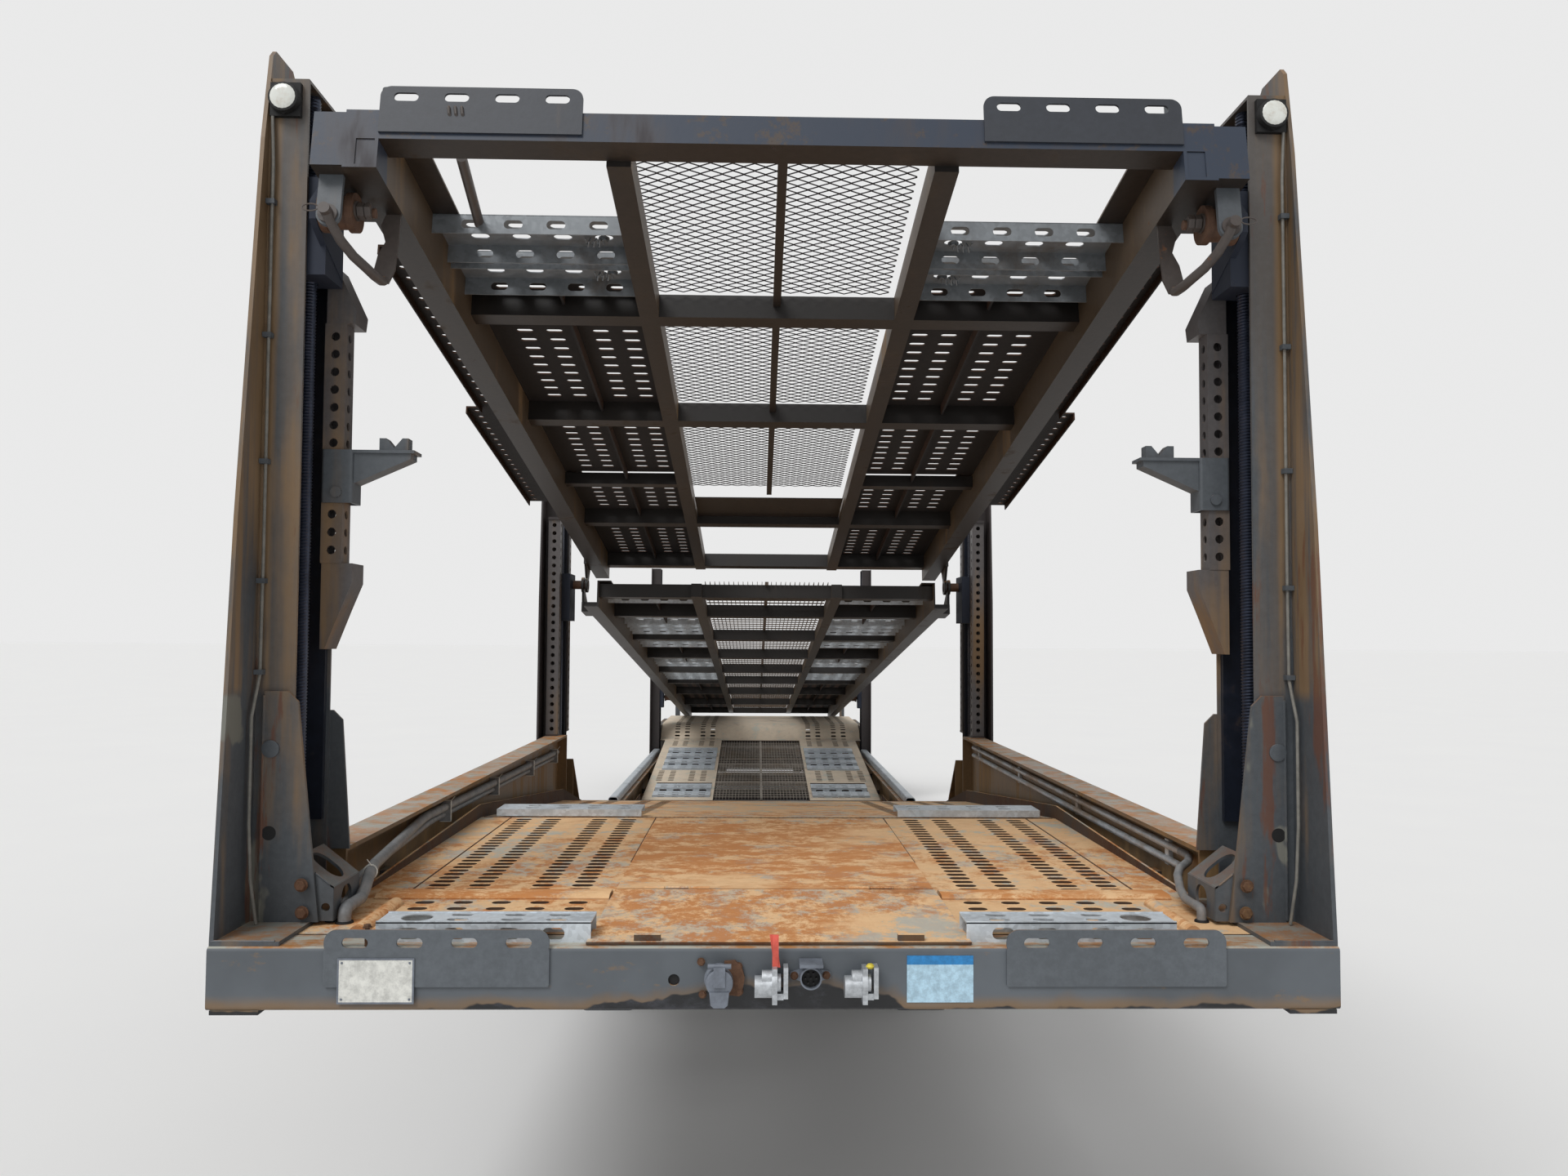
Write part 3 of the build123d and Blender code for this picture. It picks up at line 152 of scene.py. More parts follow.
class Shape:
    """Corners and faces of a piece while it is made. The placing moves them into the trailer's frame."""

    def __init__(self, placing=None):
        self.corners = []
        self.faces = []
        self.placing = placing or Matrix()

    @contextmanager
    def placed(self, placing):
        """For what is made within, a placing inside the present one."""
        kept = self.placing
        self.placing = kept @ placing
        yield
        self.placing = kept

    def add(self, corners, faces, bend=None):
        first = len(self.corners)
        for corner in corners:
            self.corners.append(self.placing @ Vector(bend(corner) if bend else corner))
        for face in faces:
            self.faces.append(tuple(first + number for number in face))

    def box(self, x, y, z):
        faces = [(0, 2, 3, 1), (4, 5, 7, 6), (0, 1, 5, 4), (2, 6, 7, 3), (0, 4, 6, 2), (1, 3, 7, 5)]
        self.add([(a, b, c) for c in z for b in y for a in x], faces)

    def prism(self, outline, low, high):
        """Solid with an outline in X and Y between two heights."""
        count = len(outline)
        corners = [(x, y, z) for z in (low, high) for x, y in outline]
        faces = [tuple(range(count)), tuple(range(count, 2 * count))]
        faces += [(k, (k + 1) % count, count + (k + 1) % count, count + k) for k in range(count)]
        self.add(corners, faces)

    def lathe(self, profile, sides, wave=None):
        """Body turned round Z from (radius, height) pairs. The wave changes a radius by its row and side."""
        corners = []
        for row, (radius, height) in enumerate(profile):
            for side in range(sides):
                swell = wave(row, side) if wave else 0
                corners.append((*on_circle(radius + swell, math.tau * side / sides), height))
        self.add(corners, sleeve_faces(len(profile), sides))

    def ring(self, profile, sides, wave=None):
        """Closed ring turned round Z from a closed outline of (radius, height) pairs."""
        count = len(profile)
        corners, faces = [], []
        for side in range(sides):
            here, beyond = side * count, (side + 1) % sides * count
            for row, (radius, height) in enumerate(profile):
                swell = wave(row, side) if wave else 0
                corners.append((*on_circle(radius + swell, math.tau * side / sides), height))
                after = (row + 1) % count
                faces.append((here + row, here + after, beyond + after, beyond + row))
        self.add(corners, faces)

    def rod(self, start, end, radius, sides=12):
        start, end = Vector(start), Vector(end)
        with self.placed(turned_to(start, end - start)):
            self.lathe([(radius, 0), (radius, (end - start).length)], sides)

    def tube(self, points, radius, sides=8):
        """Round bar that follows points, with flat ends."""
        points = [Vector(point) for point in points]
        corners = []
        across = None
        for number, point in enumerate(points):
            before = points[max(number - 1, 0)]
            after = points[min(number + 1, len(points) - 1)]
            along = (after - before).normalized()
            across = along.orthogonal() if across is None else across - along * across.dot(along)
            across.normalize()
            other = along.cross(across)
            for side in range(sides):
                angle = math.tau * side / sides
                corners.append(point + radius * (math.cos(angle) * across + math.sin(angle) * other))
        self.add(corners, sleeve_faces(len(points), sides))

    def bolt(self, point, direction, size):
        """Washer and hexagon head; size is the thread's diameter."""
        with self.placed(turned_to(point, direction)):
            washer, head, rim = size * 1.15, size * 0.92, size * 0.18
            self.lathe([(washer, 0), (washer, rim)], 16)
            self.lathe([(head, rim), (head, size * 0.72), (size * 0.8, size * 0.82)], 6)

    def weld(self, start, end, radius, seed):
        """Weld bead along a line, thicker and thinner as it was laid."""
        rng = random.Random(seed)
        start, end = Vector(start), Vector(end)
        count = max(int((end - start).length / (radius * 2.2)), 3)
        rows = []
        for number in range(count + 1):
            swell = 1 if number % 2 else 0.82
            rows.append((radius * swell * rng.uniform(0.9, 1.1), (end - start).length * number / count))
        with self.placed(turned_to(start, end - start)):
            self.lathe(rows, 6)

    def plate(self, xs, ys, low, high, slots=None, steps=4, bend=None):
        """Plate of cells between xs and ys. A cell in slots has an oval hole of (x, y, length, width)."""
        slots = slots or {}
        columns, rows = len(xs), len(ys)
        corners = [(x, y, z) for z in (high, low) for y in ys for x in xs]
        under, count = columns * rows, 4 * steps
        faces = []
        for j in range(rows - 1):
            for i in range(columns - 1):
                a = j * columns + i
                cell = (a + columns + 1, a + columns, a, a + 1)
                if (i, j) not in slots:
                    faces.append(cell)
                    faces.append(tuple(number + under for number in reversed(cell)))
                    continue
                x, y, length, width = slots[(i, j)]
                top = len(corners)
                low_ring = top + count
                ring = []
                for k in range(count):
                    angle = math.tau * (k + 0.5) / count
                    reach = math.copysign(max(length - width, 0) / 2, math.cos(angle))
                    ring.append((x + reach + width / 2 * math.cos(angle), y + width / 2 * math.sin(angle)))
                corners += [(p, q, high) for p, q in ring] + [(p, q, low) for p, q in ring]
                for quarter in range(4):
                    corner, following = cell[quarter], cell[(quarter + 1) % 4]
                    first = quarter * steps
                    for k in range(first, first + steps - 1):
                        faces.append((corner, top + k, top + k + 1))
                        faces.append((corner + under, low_ring + k + 1, low_ring + k))
                    last, start = first + steps - 1, (first + steps) % count
                    faces.append((corner, top + last, top + start, following))
                    faces.append((following + under, low_ring + start, low_ring + last, corner + under))
                for k in range(count):
                    n = (k + 1) % count
                    faces.append((top + k, low_ring + k, low_ring + n, top + n))
        edge = list(range(columns))
        edge += [j * columns + columns - 1 for j in range(1, rows)]
        edge += [(rows - 1) * columns + i for i in range(columns - 2, -1, -1)]
        edge += [j * columns for j in range(rows - 2, 0, -1)]
        for a, b in zip(edge, edge[1:] + edge[:1]):
            faces.append((a, a + under, b + under, b))
        self.add(corners, faces, bend)


def cuts(start, end, middles, half):
    """Cell limits from start to end, with a cell round each middle."""
    limits = {start, end}
    for middle in middles:
        limits |= {middle - half, middle + half}
    kept = []
    for limit in sorted(limits):
        if not kept or limit - kept[-1] > 2e-4:
            kept.append(limit)
    return kept


def slotted(shape, x, y, columns, rows, slot, low, high, bend=None):
    """Plate with a field of oval slots at given column and row middles; slot is (length, width)."""
    xs = cuts(*x, columns, slot[0] / 2 + 0.006)
    spacing = min([b - a for a, b in zip(rows, rows[1:])] + [slot[1] + 0.03])
    ys = cuts(*y, rows, spacing / 2)
    slots = {}
    for column in columns:
        for row in rows:
            i = max(k for k, value in enumerate(xs) if value < column)
            j = max(k for k, value in enumerate(ys) if value < row)
            slots[(i, j)] = (column, row, *slot)
    shape.plate(xs, ys, low, high, slots, bend=bend)


def spread(start, end, pitch):
    """Middles at about one pitch from start to end, with equal margins."""
    count = max(int((end - start) / pitch), 1)
    margin = (end - start - (count - 1) * pitch) / 2
    return [start + margin + number * pitch for number in range(count)]


FINISHES = {}


def scene_object(name, data):
    """Object of a mesh, lamp or camera, in the scene."""
    obj = bpy.data.objects.new(name, data)
    bpy.context.scene.collection.objects.link(obj)
    return obj


def piece(shape, name, finish, replaces=(), body="chassis", crease=38):
    """Object of a finished shape that rides on a body, and stands for the CAD nodes that it replaces."""
    mesh = bpy.data.meshes.new(name)
    mesh.from_pydata(shape.corners, [], shape.faces)
    solid = bmesh.new()
    solid.from_mesh(mesh)
    bmesh.ops.recalc_face_normals(solid, faces=solid.faces)
    solid.to_mesh(mesh)
    solid.free()
    mesh.shade_smooth()
    mesh.set_sharp_from_angle(angle=math.radians(crease))
    mesh.materials.append(FINISHES[finish])
    obj = scene_object(name, mesh)
    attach(obj, body)
    if replaces:
        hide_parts(*replaces)


BUMP_STRENGTH = 0.6


class Finish:
    """Procedural material while its nodes are wired. Coordinates are the piece's own, in metres. Its base is
    the colour so far, which a layer goes over."""

    def __init__(self, name, roughness=0.6, metallic=0.0):
        self.material = bpy.data.materials.new(name)
        self.material.use_nodes = True
        self.nodes = self.material.node_tree.nodes
        self.links = self.material.node_tree.links
        self.shader = self.nodes["Principled BSDF"]
        self.shader.inputs["Roughness"].default_value = roughness
        self.shader.inputs["Metallic"].default_value = metallic
        self.place = self.nodes.new("ShaderNodeTexCoord")
        self.base = None
        FINISHES[name] = self.material

    def set(self, socket, value):
        """Wires an output to an input, or gives the input a plain value."""
        if isinstance(value, bpy.types.NodeSocket):
            self.links.new(value, socket)
        elif isinstance(value, tuple) and len(value) == 3 and socket.type == "RGBA":
            socket.default_value = (*value, 1)
        else:
            socket.default_value = value

    def noise(self, scale, detail=5, roughness=0.6, stretch=(1, 1, 1), warp=0.0):
        mapping = self.nodes.new("ShaderNodeMapping")
        self.set(mapping.inputs["Scale"], stretch)
        self.links.new(self.place.outputs["Object"], mapping.inputs["Vector"])
        noise = self.nodes.new("ShaderNodeTexNoise")
        self.links.new(mapping.outputs["Vector"], noise.inputs["Vector"])
        settings = {"Scale": scale, "Detail": detail, "Roughness": roughness, "Distortion": warp}
        for name, value in settings.items():
            noise.inputs[name].default_value = value
        return noise.outputs["Fac"]

    def cells(self, scale):
        cells = self.nodes.new("ShaderNodeTexVoronoi")
        self.links.new(self.place.outputs["Object"], cells.inputs["Vector"])
        cells.inputs["Scale"].default_value = scale
        split = self.nodes.new("ShaderNodeSeparateColor")
        self.links.new(cells.outputs["Color"], split.inputs["Color"])
        return split.outputs["Red"]

    def span(self, value, low, high, out_low=0.0, out_high=1.0):
        """Smooth step of a value from low to high."""
        span = self.nodes.new("ShaderNodeMapRange")
        span.interpolation_type = "SMOOTHSTEP"
        settings = {"Value": value, "From Min": low, "From Max": high, "To Min": out_low, "To Max": out_high}
        for name, setting in settings.items():
            self.set(span.inputs[name], setting)
        return span.outputs["Result"]

    def math(self, kind, a, b):
        node = self.nodes.new("ShaderNodeMath")
        node.operation = kind
        self.set(node.inputs[0], a)
        self.set(node.inputs[1], b)
        return node.outputs["Value"]

    def plus(self, a, b):
        return self.math("ADD", a, b)

    def times(self, a, b):
        return self.math("MULTIPLY", a, b)

    def mix(self, factor, a, b):
        node = self.nodes.new("ShaderNodeMix")
        node.data_type = "RGBA"
        node.clamp_factor = True
        self.set(node.inputs["Factor"], factor)
        self.set(node.inputs[6], a)
        self.set(node.inputs[7], b)
        return node.outputs[2]

    def axis(self, name, space="Object"):
        split = self.nodes.new("ShaderNodeSeparateXYZ")
        self.links.new(self.place.outputs[space], split.inputs["Vector"])
        return split.outputs[name]

    def facing(self, name):
        """Share of the surface's direction along an axis."""
        return self.axis(name, "Normal")

    def aside(self):
        """Distance from the middle of the trailer."""
        return self.math("ABSOLUTE", self.axis("X"), 0)

    def over(self, factor, colour):
        """Lays a colour over the present one."""
        self.base = self.mix(factor, self.base, colour)

    def end(self, roughness=None, metallic=None, height=None, depth=0.001):
        self.set(self.shader.inputs["Base Color"], self.base)
        if roughness is not None:
            self.set(self.shader.inputs["Roughness"], roughness)
        if metallic is not None:
            self.set(self.shader.inputs["Metallic"], metallic)
        if height is not None:
            bump = self.nodes.new("ShaderNodeBump")
            bump.inputs["Strength"].default_value = BUMP_STRENGTH
            bump.inputs["Distance"].default_value = depth
            self.set(bump.inputs["Height"], height)
            self.links.new(bump.outputs["Normal"], self.shader.inputs["Normal"])


def colour_setting(name, description, *colour):
    return FloatVectorProperty(name=name, description=description, subtype="COLOR", size=3,
                               default=shade(*colour))


def length_setting(name, description, default):
    return FloatProperty(name=name, description=description, unit="LENGTH", default=default)


def angle_setting(name, description, degrees):
    return FloatProperty(name=name, description=description, subtype="ANGLE", default=math.radians(degrees))


class TrailerColours(bpy.types.PropertyGroup):
    """Paints, dirt and metals of the trailer, and the brown painted as shade."""

    paint: colour_setting("Paint", "Grey-blue paint of posts and crossmember", 98, 104, 110)
    dust: colour_setting("Road dust", "Yellow-brown dust and surface rust on the paint", 150, 118, 78)
    tan: colour_setting("Tan plate", "Dry tan of the platform plates", 206, 170, 128)
    rust: colour_setting("Rust", "Bright rust of the platform plates", 212, 136, 70)
    dark_rust: colour_setting("Old rust", "Dark rust in corners and round edges", 92, 54, 34)
    faded: colour_setting("Faded paint", "Pale paint left between the rust", 196, 196, 184)
    # Brown is painted as shade on faces that look down and on the deck beams' faces that look ahead; the
    # chassis and mid post paints are made from it too.
    brown: colour_setting("Underside brown", "Dark brown of the decks from below", 44, 38, 38)
    zinc: colour_setting("Zinc", "Galvanised planks and rails", 196, 203, 209)
    grease: colour_setting("Grease", "Black grease of screws and coupling", 30, 31, 34)
    shoe: colour_setting("Shoe plastic", "Blue-black plastic of shoes and guides", 30, 37, 52)


class PlateSizes(bpy.types.PropertyGroup):
    """Slots of the wheel tracks and planks, and cells of the expanded metal."""

    slot_long: length_setting("Slot length", "Length of a track slot across the trailer", 0.056)
    slot_wide: length_setting("Slot width", "Width of a track slot", 0.024)
    deck_pitch: length_setting("Deck pitch", "Distance between slot rows of the upper decks", 0.074)
    platform_pitch: length_setting("Platform pitch", "Distance between slot rows of the platform", 0.0516)
    mesh_long: length_setting("Mesh cell length", "Expanded metal cell across the trailer", 0.056)
    mesh_short: length_setting("Mesh cell width", "Expanded metal cell along the trailer", 0.0345)


class RunningSizes(bpy.types.PropertyGroup):
    """Screws and wheels."""

    pitch: length_setting("Screw pitch", "Pitch of the lift screws", 0.008)
    thread: length_setting("Thread depth", "Depth of the lift screws' thread", 0.0035)
    nuts: IntProperty(name="Wheel nuts", description="Nuts on each hub", default=10)
    lugs: IntProperty(name="Tread lugs", description="Shoulder lugs round a tyre", default=60)


class StageSizes(bpy.types.PropertyGroup):
    """Camera and light."""

    lens: FloatProperty(name="Lens", description="Focal length on a 36 mm wide sensor, in mm", default=26.83)
    yaw: angle_setting("Yaw", "Camera turn to the trailer's left", 1.3448)
    pitch: angle_setting("Pitch", "Camera tilt upwards", 2.4892)
    roll: angle_setting("Roll", "Camera roll", 0.351)
    camera_ahead: length_setting("Camera distance", "Camera ahead of the crossmember", 2.6605)
    camera_side: length_setting("Camera side", "Camera beside the middle", -0.0578)
    camera_high: length_setting("Camera height", "Camera above the ground", 1.8936)
    daylight: FloatProperty(name="Daylight", description="Strength of the even light", default=0.5)
    soft_sun: FloatProperty(name="Soft sun", description="Strength of the wide, soft sun", default=1.6)
    backdrop: FloatProperty(name="Backdrop", description="Brightness of the backdrop", default=0.82)


def darker(colour, share):
    return tuple(value * share for value in colour)


def tone(name, share=1):
    """A colour of the trailer, or a share of it, as plain numbers."""
    return darker(getattr(bpy.context.scene.trailer_colours, name), share)


def painted_underside_shade(look, fine, amount=1.0):
    """Painted shade: dark brown on the faces that look down."""
    down = look.span(look.facing("Z"), -0.3, -0.8, 0, amount)
    shadow = look.mix(look.span(fine, 0.35, 0.65), tone("brown", 0.28), tone("brown", 0.45))
    look.over(down, shadow)


def outer_tan(look, patches, amount):
    """Tan streaks far out and high up, pale stains lower down, and runs of rust, as on the front posts."""
    above = look.span(look.axis("Z"), 1.74, 1.78)
    streaked = look.span(look.noise(16, 6, 0.62, (1, 1, 0.05)), 0.36, 0.56, 0, amount)
    tanned = look.times(look.times(above, look.span(look.aside(), 1.226, 1.244, 0.25, 1)), streaked)
    tan = look.mix(look.span(patches, 0.4, 0.6), tone("dust", 0.6), tone("tan", 0.4))
    look.over(tanned, tan)
    stain = look.span(look.noise(6, 4, 0.5, (1, 1, 0.6)), 0.6, 0.68, 0.7, 0)
    look.base = look.mix(look.span(look.plus(stain, above), 0.1, 0.6), tone("faded", 0.3), look.base)
    run = look.span(look.noise(13, 8, 0.66, (1, 1, 0.12)), 0.58, 0.64, 0, 0.7)
    look.over(run, tone("dark_rust", 1.2))


def aged_paint(name, paint, dusty, rusty, top_rust, under=0.0, ahead=None, outer=0.0):
    """Paint with streaks of dust and spots of rust, more rust on top and painted brown shade underneath.
    Ahead is another paint for what lies at the very front, with painted shade on the faces that look ahead;
    outer adds tan far out from the middle."""
    look = Finish(name)
    dust, rust = tone("dust"), tone("rust")
    patches = look.noise(1.7, 5, 0.62, (1, 1, 0.55))
    streaks = look.noise(11, 5, 0.6, (1, 1, 0.07))
    fine = look.noise(55, 6, 0.7)
    grain = look.noise(9, 9, 0.78)
    look.base = look.mix(look.span(look.plus(fine, patches), 0.7, 1.3), darker(paint, 0.72), paint)
    cover = look.plus(look.times(patches, 0.55), look.times(streaks, 0.45))
    dusted = look.span(cover, 0.66 - 0.3 * dusty, 0.8 - 0.3 * dusty, 0, 0.35 + 0.5 * dusty)
    dirt = look.mix(look.span(streaks, 0.3, 0.7), darker(dust, 0.5), darker(dust, 0.95))
    look.over(dusted, dirt)
    if outer:
        outer_tan(look, patches, outer)
    spots = look.span(grain, 0.72 - 0.14 * rusty, 0.78 - 0.12 * rusty)
    look.over(look.times(spots, 0.8), look.mix(fine, tone("dark_rust"), darker(rust, 0.5)))
    up = look.span(look.facing("Z"), 0.55, 0.9)
    worn_top = look.times(up, look.span(patches, 0.25, 0.55, top_rust * 0.7, top_rust))
    topping = look.mix(look.span(grain, 0.42, 0.6), look.mix(patches, dust, rust), tone("faded", 0.7))
    look.over(worn_top, topping)
    # Painted shade on the faces that look down.
    if under:
        painted_underside_shade(look, fine, under)
    if ahead:
        # Painted shade: dark brown on the faces that look ahead.
        look.over(look.span(look.facing("Y"), -0.6, -0.9, 0, 0.95), tone("brown", 0.15))
        first = look.times(look.span(look.axis("Y"), at(0.135), at(0.125)),
                           look.span(look.facing("Z"), -0.8, -0.3))
        worn = look.math("MAXIMUM", look.span(cover, 0.5, 0.64, 0, 0.35),
                         look.span(grain, 0.54, 0.62, 0, 0.6))
        look.over(first, look.mix(worn, ahead, darker(dust, 0.26)))
    height = look.plus(look.times(fine, 0.4), look.times(spots, 0.6))
    rough = look.span(look.plus(dusted, spots), 0.1, 0.9, 0.5, 0.9)
    look.end(roughness=rough, height=height, depth=0.0012)


def rusted_plate(name, plate, rusting, paling, stretch=(1, 1, 1), under=True, wall_shade=0.95):
    """Deck plate: dry tan with brushed orange rust and pale paint, brown grime, painted shade on upright
    faces such as slot sides, and painted shade underneath unless under is off.
    """
    look = Finish(name, roughness=0.85)
    rust, old = tone("rust"), tone("dark_rust")
    broad = look.noise(1.3, 6, 0.65, stretch)
    brushed = look.noise(5.5, 10, 0.78, stretch, 0.15)
    flakes = look.noise(13, 9, 0.82, stretch, 0.2)
    fine = look.noise(70, 6, 0.75)
    look.base = look.mix(look.span(brushed, 0.35, 0.65), darker(plate, 0.86), plate)
    pale = look.times(look.span(brushed, 0.4 + 0.12 * paling, 0.34 + 0.12 * paling),
                      look.span(flakes, 0.38, 0.5))
    look.over(look.times(pale, min(0.55 + paling, 1)), tone("faded"))
    rusted = look.times(look.span(broad, 0.62 - 0.25 * rusting, 0.72 - 0.25 * rusting, 0.15, 1),
                        look.span(flakes, 0.58 - 0.16 * rusting, 0.66 - 0.12 * rusting))
    look.over(look.times(rusted, 0.9), look.mix(fine, darker(rust, 0.85), rust))
    look.over(look.span(look.noise(2.6, 9, 0.72), 0.56, 0.72, 0, 0.55), darker(old, 1.6))
    look.over(look.span(fine, 0.6, 0.76, 0, 0.4), old)
    # Painted shade: dark on upright faces such as slot sides.
    upright = look.span(look.math("ABSOLUTE", look.facing("Z"), 0), 0.6, 0.3, 0, wall_shade)
    look.over(upright, darker(old, 0.25))
    # Painted shade on the faces that look down.
    if under:
        painted_underside_shade(look, fine)
    look.end(height=look.plus(fine, flakes), depth=0.0012)


def galvanised(name, dusty=0.35, painted_light=1.0, metallic=0.6):
    """Hot-dip zinc with spangle, dull streaks and dust. Its colours are scaled as painted light or shade:
    over 1 for a copy painted lit, under 1 for a copy painted in shade.
    """
    look = Finish(name, roughness=0.42, metallic=metallic)
    # Zinc scaled lighter or darker as painted light or shade.
    zinc = tone("zinc", painted_light)
    spangle = look.cells(85)
    clouds = look.noise(7, 6, 0.65)
    look.base = look.mix(spangle, darker(zinc, 0.78), zinc)
    look.over(look.span(clouds, 0.5, 0.72, 0, 0.6), darker(zinc, 0.55))
    grime = look.span(look.noise(3, 8, 0.7), 0.62 - 0.25 * dusty, 0.85 - 0.25 * dusty, 0, 0.75)
    # Dust scaled by the same painted light or shade.
    look.over(grime, tone("dust", 0.8 * painted_light))
    metal = look.span(grime, 0.1, 0.8, metallic, 0.1)
    rough = look.span(look.plus(spangle, clouds), 0.4, 1.4, 0.36, 0.6)
    look.end(roughness=rough, metallic=metal, height=clouds, depth=0.0006)


def dull_surface(name, colour, roughness, metallic, dusty, scale=30, depth=0.0006, beyond=None):
    """Plain rubber, plastic or metal with dust lying in it. Beyond is a colour for what lies past an X."""
    look = Finish(name, roughness=roughness, metallic=metallic)
    fine = look.noise(scale, 7, 0.7)
    broad = look.noise(3.5, 5, 0.6)
    look.base = look.mix(look.span(fine, 0.3, 0.7), darker(colour, 0.75), darker(colour, 1.2))
    if beyond:
        limit, outer = beyond
        look.over(look.span(look.aside(), limit - 0.001, limit + 0.001), outer)
    grime = look.span(look.plus(look.times(fine, 0.4), look.times(broad, 0.6)),
                      0.62 - 0.25 * dusty, 0.8 - 0.2 * dusty, 0, 0.3 + 0.5 * dusty)
    look.over(grime, tone("dust", 0.75))
    rough = look.span(grime, 0, 0.8, roughness, min(roughness + 0.3, 0.95))
    look.end(roughness=rough, height=fine, depth=depth)


def crossmember_paint(name):
    """Paint of the front crossmember: orange top, scuffs, and black grease low in the middle."""
    look = Finish(name, roughness=0.5)
    paint, dust = tone("paint"), tone("dust")
    fine = look.noise(60, 7, 0.7)
    broad = look.noise(2.2, 5, 0.6)
    scuffs = look.noise(14, 8, 0.75, (0.5, 1, 1))
    look.base = look.mix(look.span(broad, 0.3, 0.7), darker(paint, 0.66), darker(paint, 0.96))
    look.over(look.span(scuffs, 0.6, 0.68, 0, 0.5), darker(dust, 0.8))
    low = look.span(look.axis("Z"), 1.10, 1.065, 0, 0.6)
    look.over(look.times(low, look.span(broad, 0.3, 0.6)), darker(dust, 0.85))
    edge = look.plus(look.aside(), look.times(look.math("SUBTRACT", broad, 0.5), 1.2))
    waves = look.times(look.math("SUBTRACT", look.noise(7, 3, 0.5), 0.5), 0.09)
    height = look.plus(look.plus(look.axis("Z"), waves), look.span(edge, 0.2, 0.52, 0, 0.045))
    look.over(look.span(height, 1.136, 1.108, 0, 0.5), darker(dust, 0.62))
    smear = look.span(height, 1.110, 1.104)
    grease = look.mix(look.span(scuffs, 0.45, 0.7), tone("grease", 0.7), shade(62, 63, 70))
    look.over(smear, grease)
    topping = look.mix(look.span(scuffs, 0.42, 0.6), tone("faded", 0.8),
                       look.mix(fine, dust, tone("rust", 0.8)))
    look.over(look.span(look.facing("Z"), 0.6, 0.85), topping)
    rough = look.span(smear, 0.1, 0.8, 0.55, 0.3)
    look.end(roughness=rough, height=look.plus(fine, scuffs), depth=0.0008)


def glossy(name, colour, roughness=0.12):
    """Lens or clean plastic with faint dirt."""
    look = Finish(name, roughness=roughness)
    fine = look.noise(40, 6, 0.7)
    look.base = look.mix(look.span(fine, 0.45, 0.75, 0, 0.45), colour, tone("dust", 0.9))
    look.end(roughness=look.span(fine, 0.4, 0.7, roughness, roughness + 0.35))


# Finish of every CAD node that shows as it is
NODE_FINISH = {
    "front_crossmember": "crossmember paint", "lower_lashing_rails": "rail paint",
    "neck_frame": "chassis paint", "coupler_plate": "greasy steel", "kingpin": "greasy steel",
    "side_frames": "side frame paint", "well_side_rails": "galvanised", "platform_hatch": "hatch plate",
    "centre_cover": "cover plate", "well_floor": "deck plate",
    "rear_frame": "chassis paint", "floor_crossmembers": "chassis paint", "rear_bumper": "post paint",
    "mudguards": "mudguard plastic", "landing_legs": "leg paint", "axles": "axle rust",
    "air_suspension": "suspension black", "front_posts": "post paint",
    "screw_guides": "guide plastic", "deck_rests": "bracket paint",
    "mid_posts": "mid post paint", "rear_posts": "mid post paint", "tail_stanchions": "post paint",
    "mid_carriages": "spool and shoe", "front_carriages": "spool and shoe",
    "rear_carriages": "spool and shoe",
    "front_deck_frame": "deck beam", "rear_deck_frame": "deck beam",
    "deck_lashing_rails": "upper rail paint", "side_pipes": "pipe zinc", "cable_bundle": "cable sheath",
    "loading_ramp_left": "galvanised", "loading_ramp_right": "galvanised",
}

# Dull surfaces: colour as it looks, roughness, metal, dust, and for some the scale and depth of the grain
DULL_SURFACES = {
    "screw steel": ((56, 62, 78), 0.38, 0.6, 0.2),
    "mudguard plastic": ((44, 43, 42), 0.6, 0.0, 0.7),
    "suspension black": ((34, 34, 35), 0.6, 0.0, 0.6),
    "axle rust": ((74, 54, 42), 0.8, 0.2, 0.7, 18, 0.0015),
    "grating brown": ((96, 84, 74), 0.85, 0.0, 0.35),
    "ramp bar": ((164, 156, 146), 0.8, 0.1, 0.5),
    "mesh steel": ((34, 30, 30), 0.85, 0.0, 0.15),
    "cable sheath": ((128, 130, 132), 0.55, 0.0, 0.5),
    "tyre rubber": ((46, 45, 44), 0.8, 0.0, 0.65, 45, 0.0008),
    "rim silver": ((148, 150, 152), 0.45, 0.4, 0.6),
    "cast alloy": ((186, 190, 194), 0.42, 0.6, 0.2, 60),
    "rusty bolt": ((100, 72, 54), 0.85, 0.2, 0.5, 80),
    "grey socket": ((112, 118, 128), 0.5, 0.1, 0.25),
    # Black of the lamp housings, grommets and socket insert, also painted as the shade inside holes.
    "black insert": ((9, 9, 10), 0.7, 0.0, 0),
    "white plate": ((214, 214, 208), 0.45, 0.0, 0.25, 60),
    "pale label": ((176, 208, 226), 0.4, 0.0, 0.12, 60),
    "label blue": ((40, 128, 190), 0.4, 0.0, 0.12, 60),
    "red strap": ((214, 92, 78), 0.7, 0.0, 0.1),
    "yellow mark": ((226, 206, 70), 0.6, 0.0, 0.1),
    "white tie": ((222, 222, 216), 0.5, 0.0, 0.15),
    "grey conduit": ((120, 118, 112), 0.6, 0.0, 0.4),
}
SHOE_INNER_X = 1.124


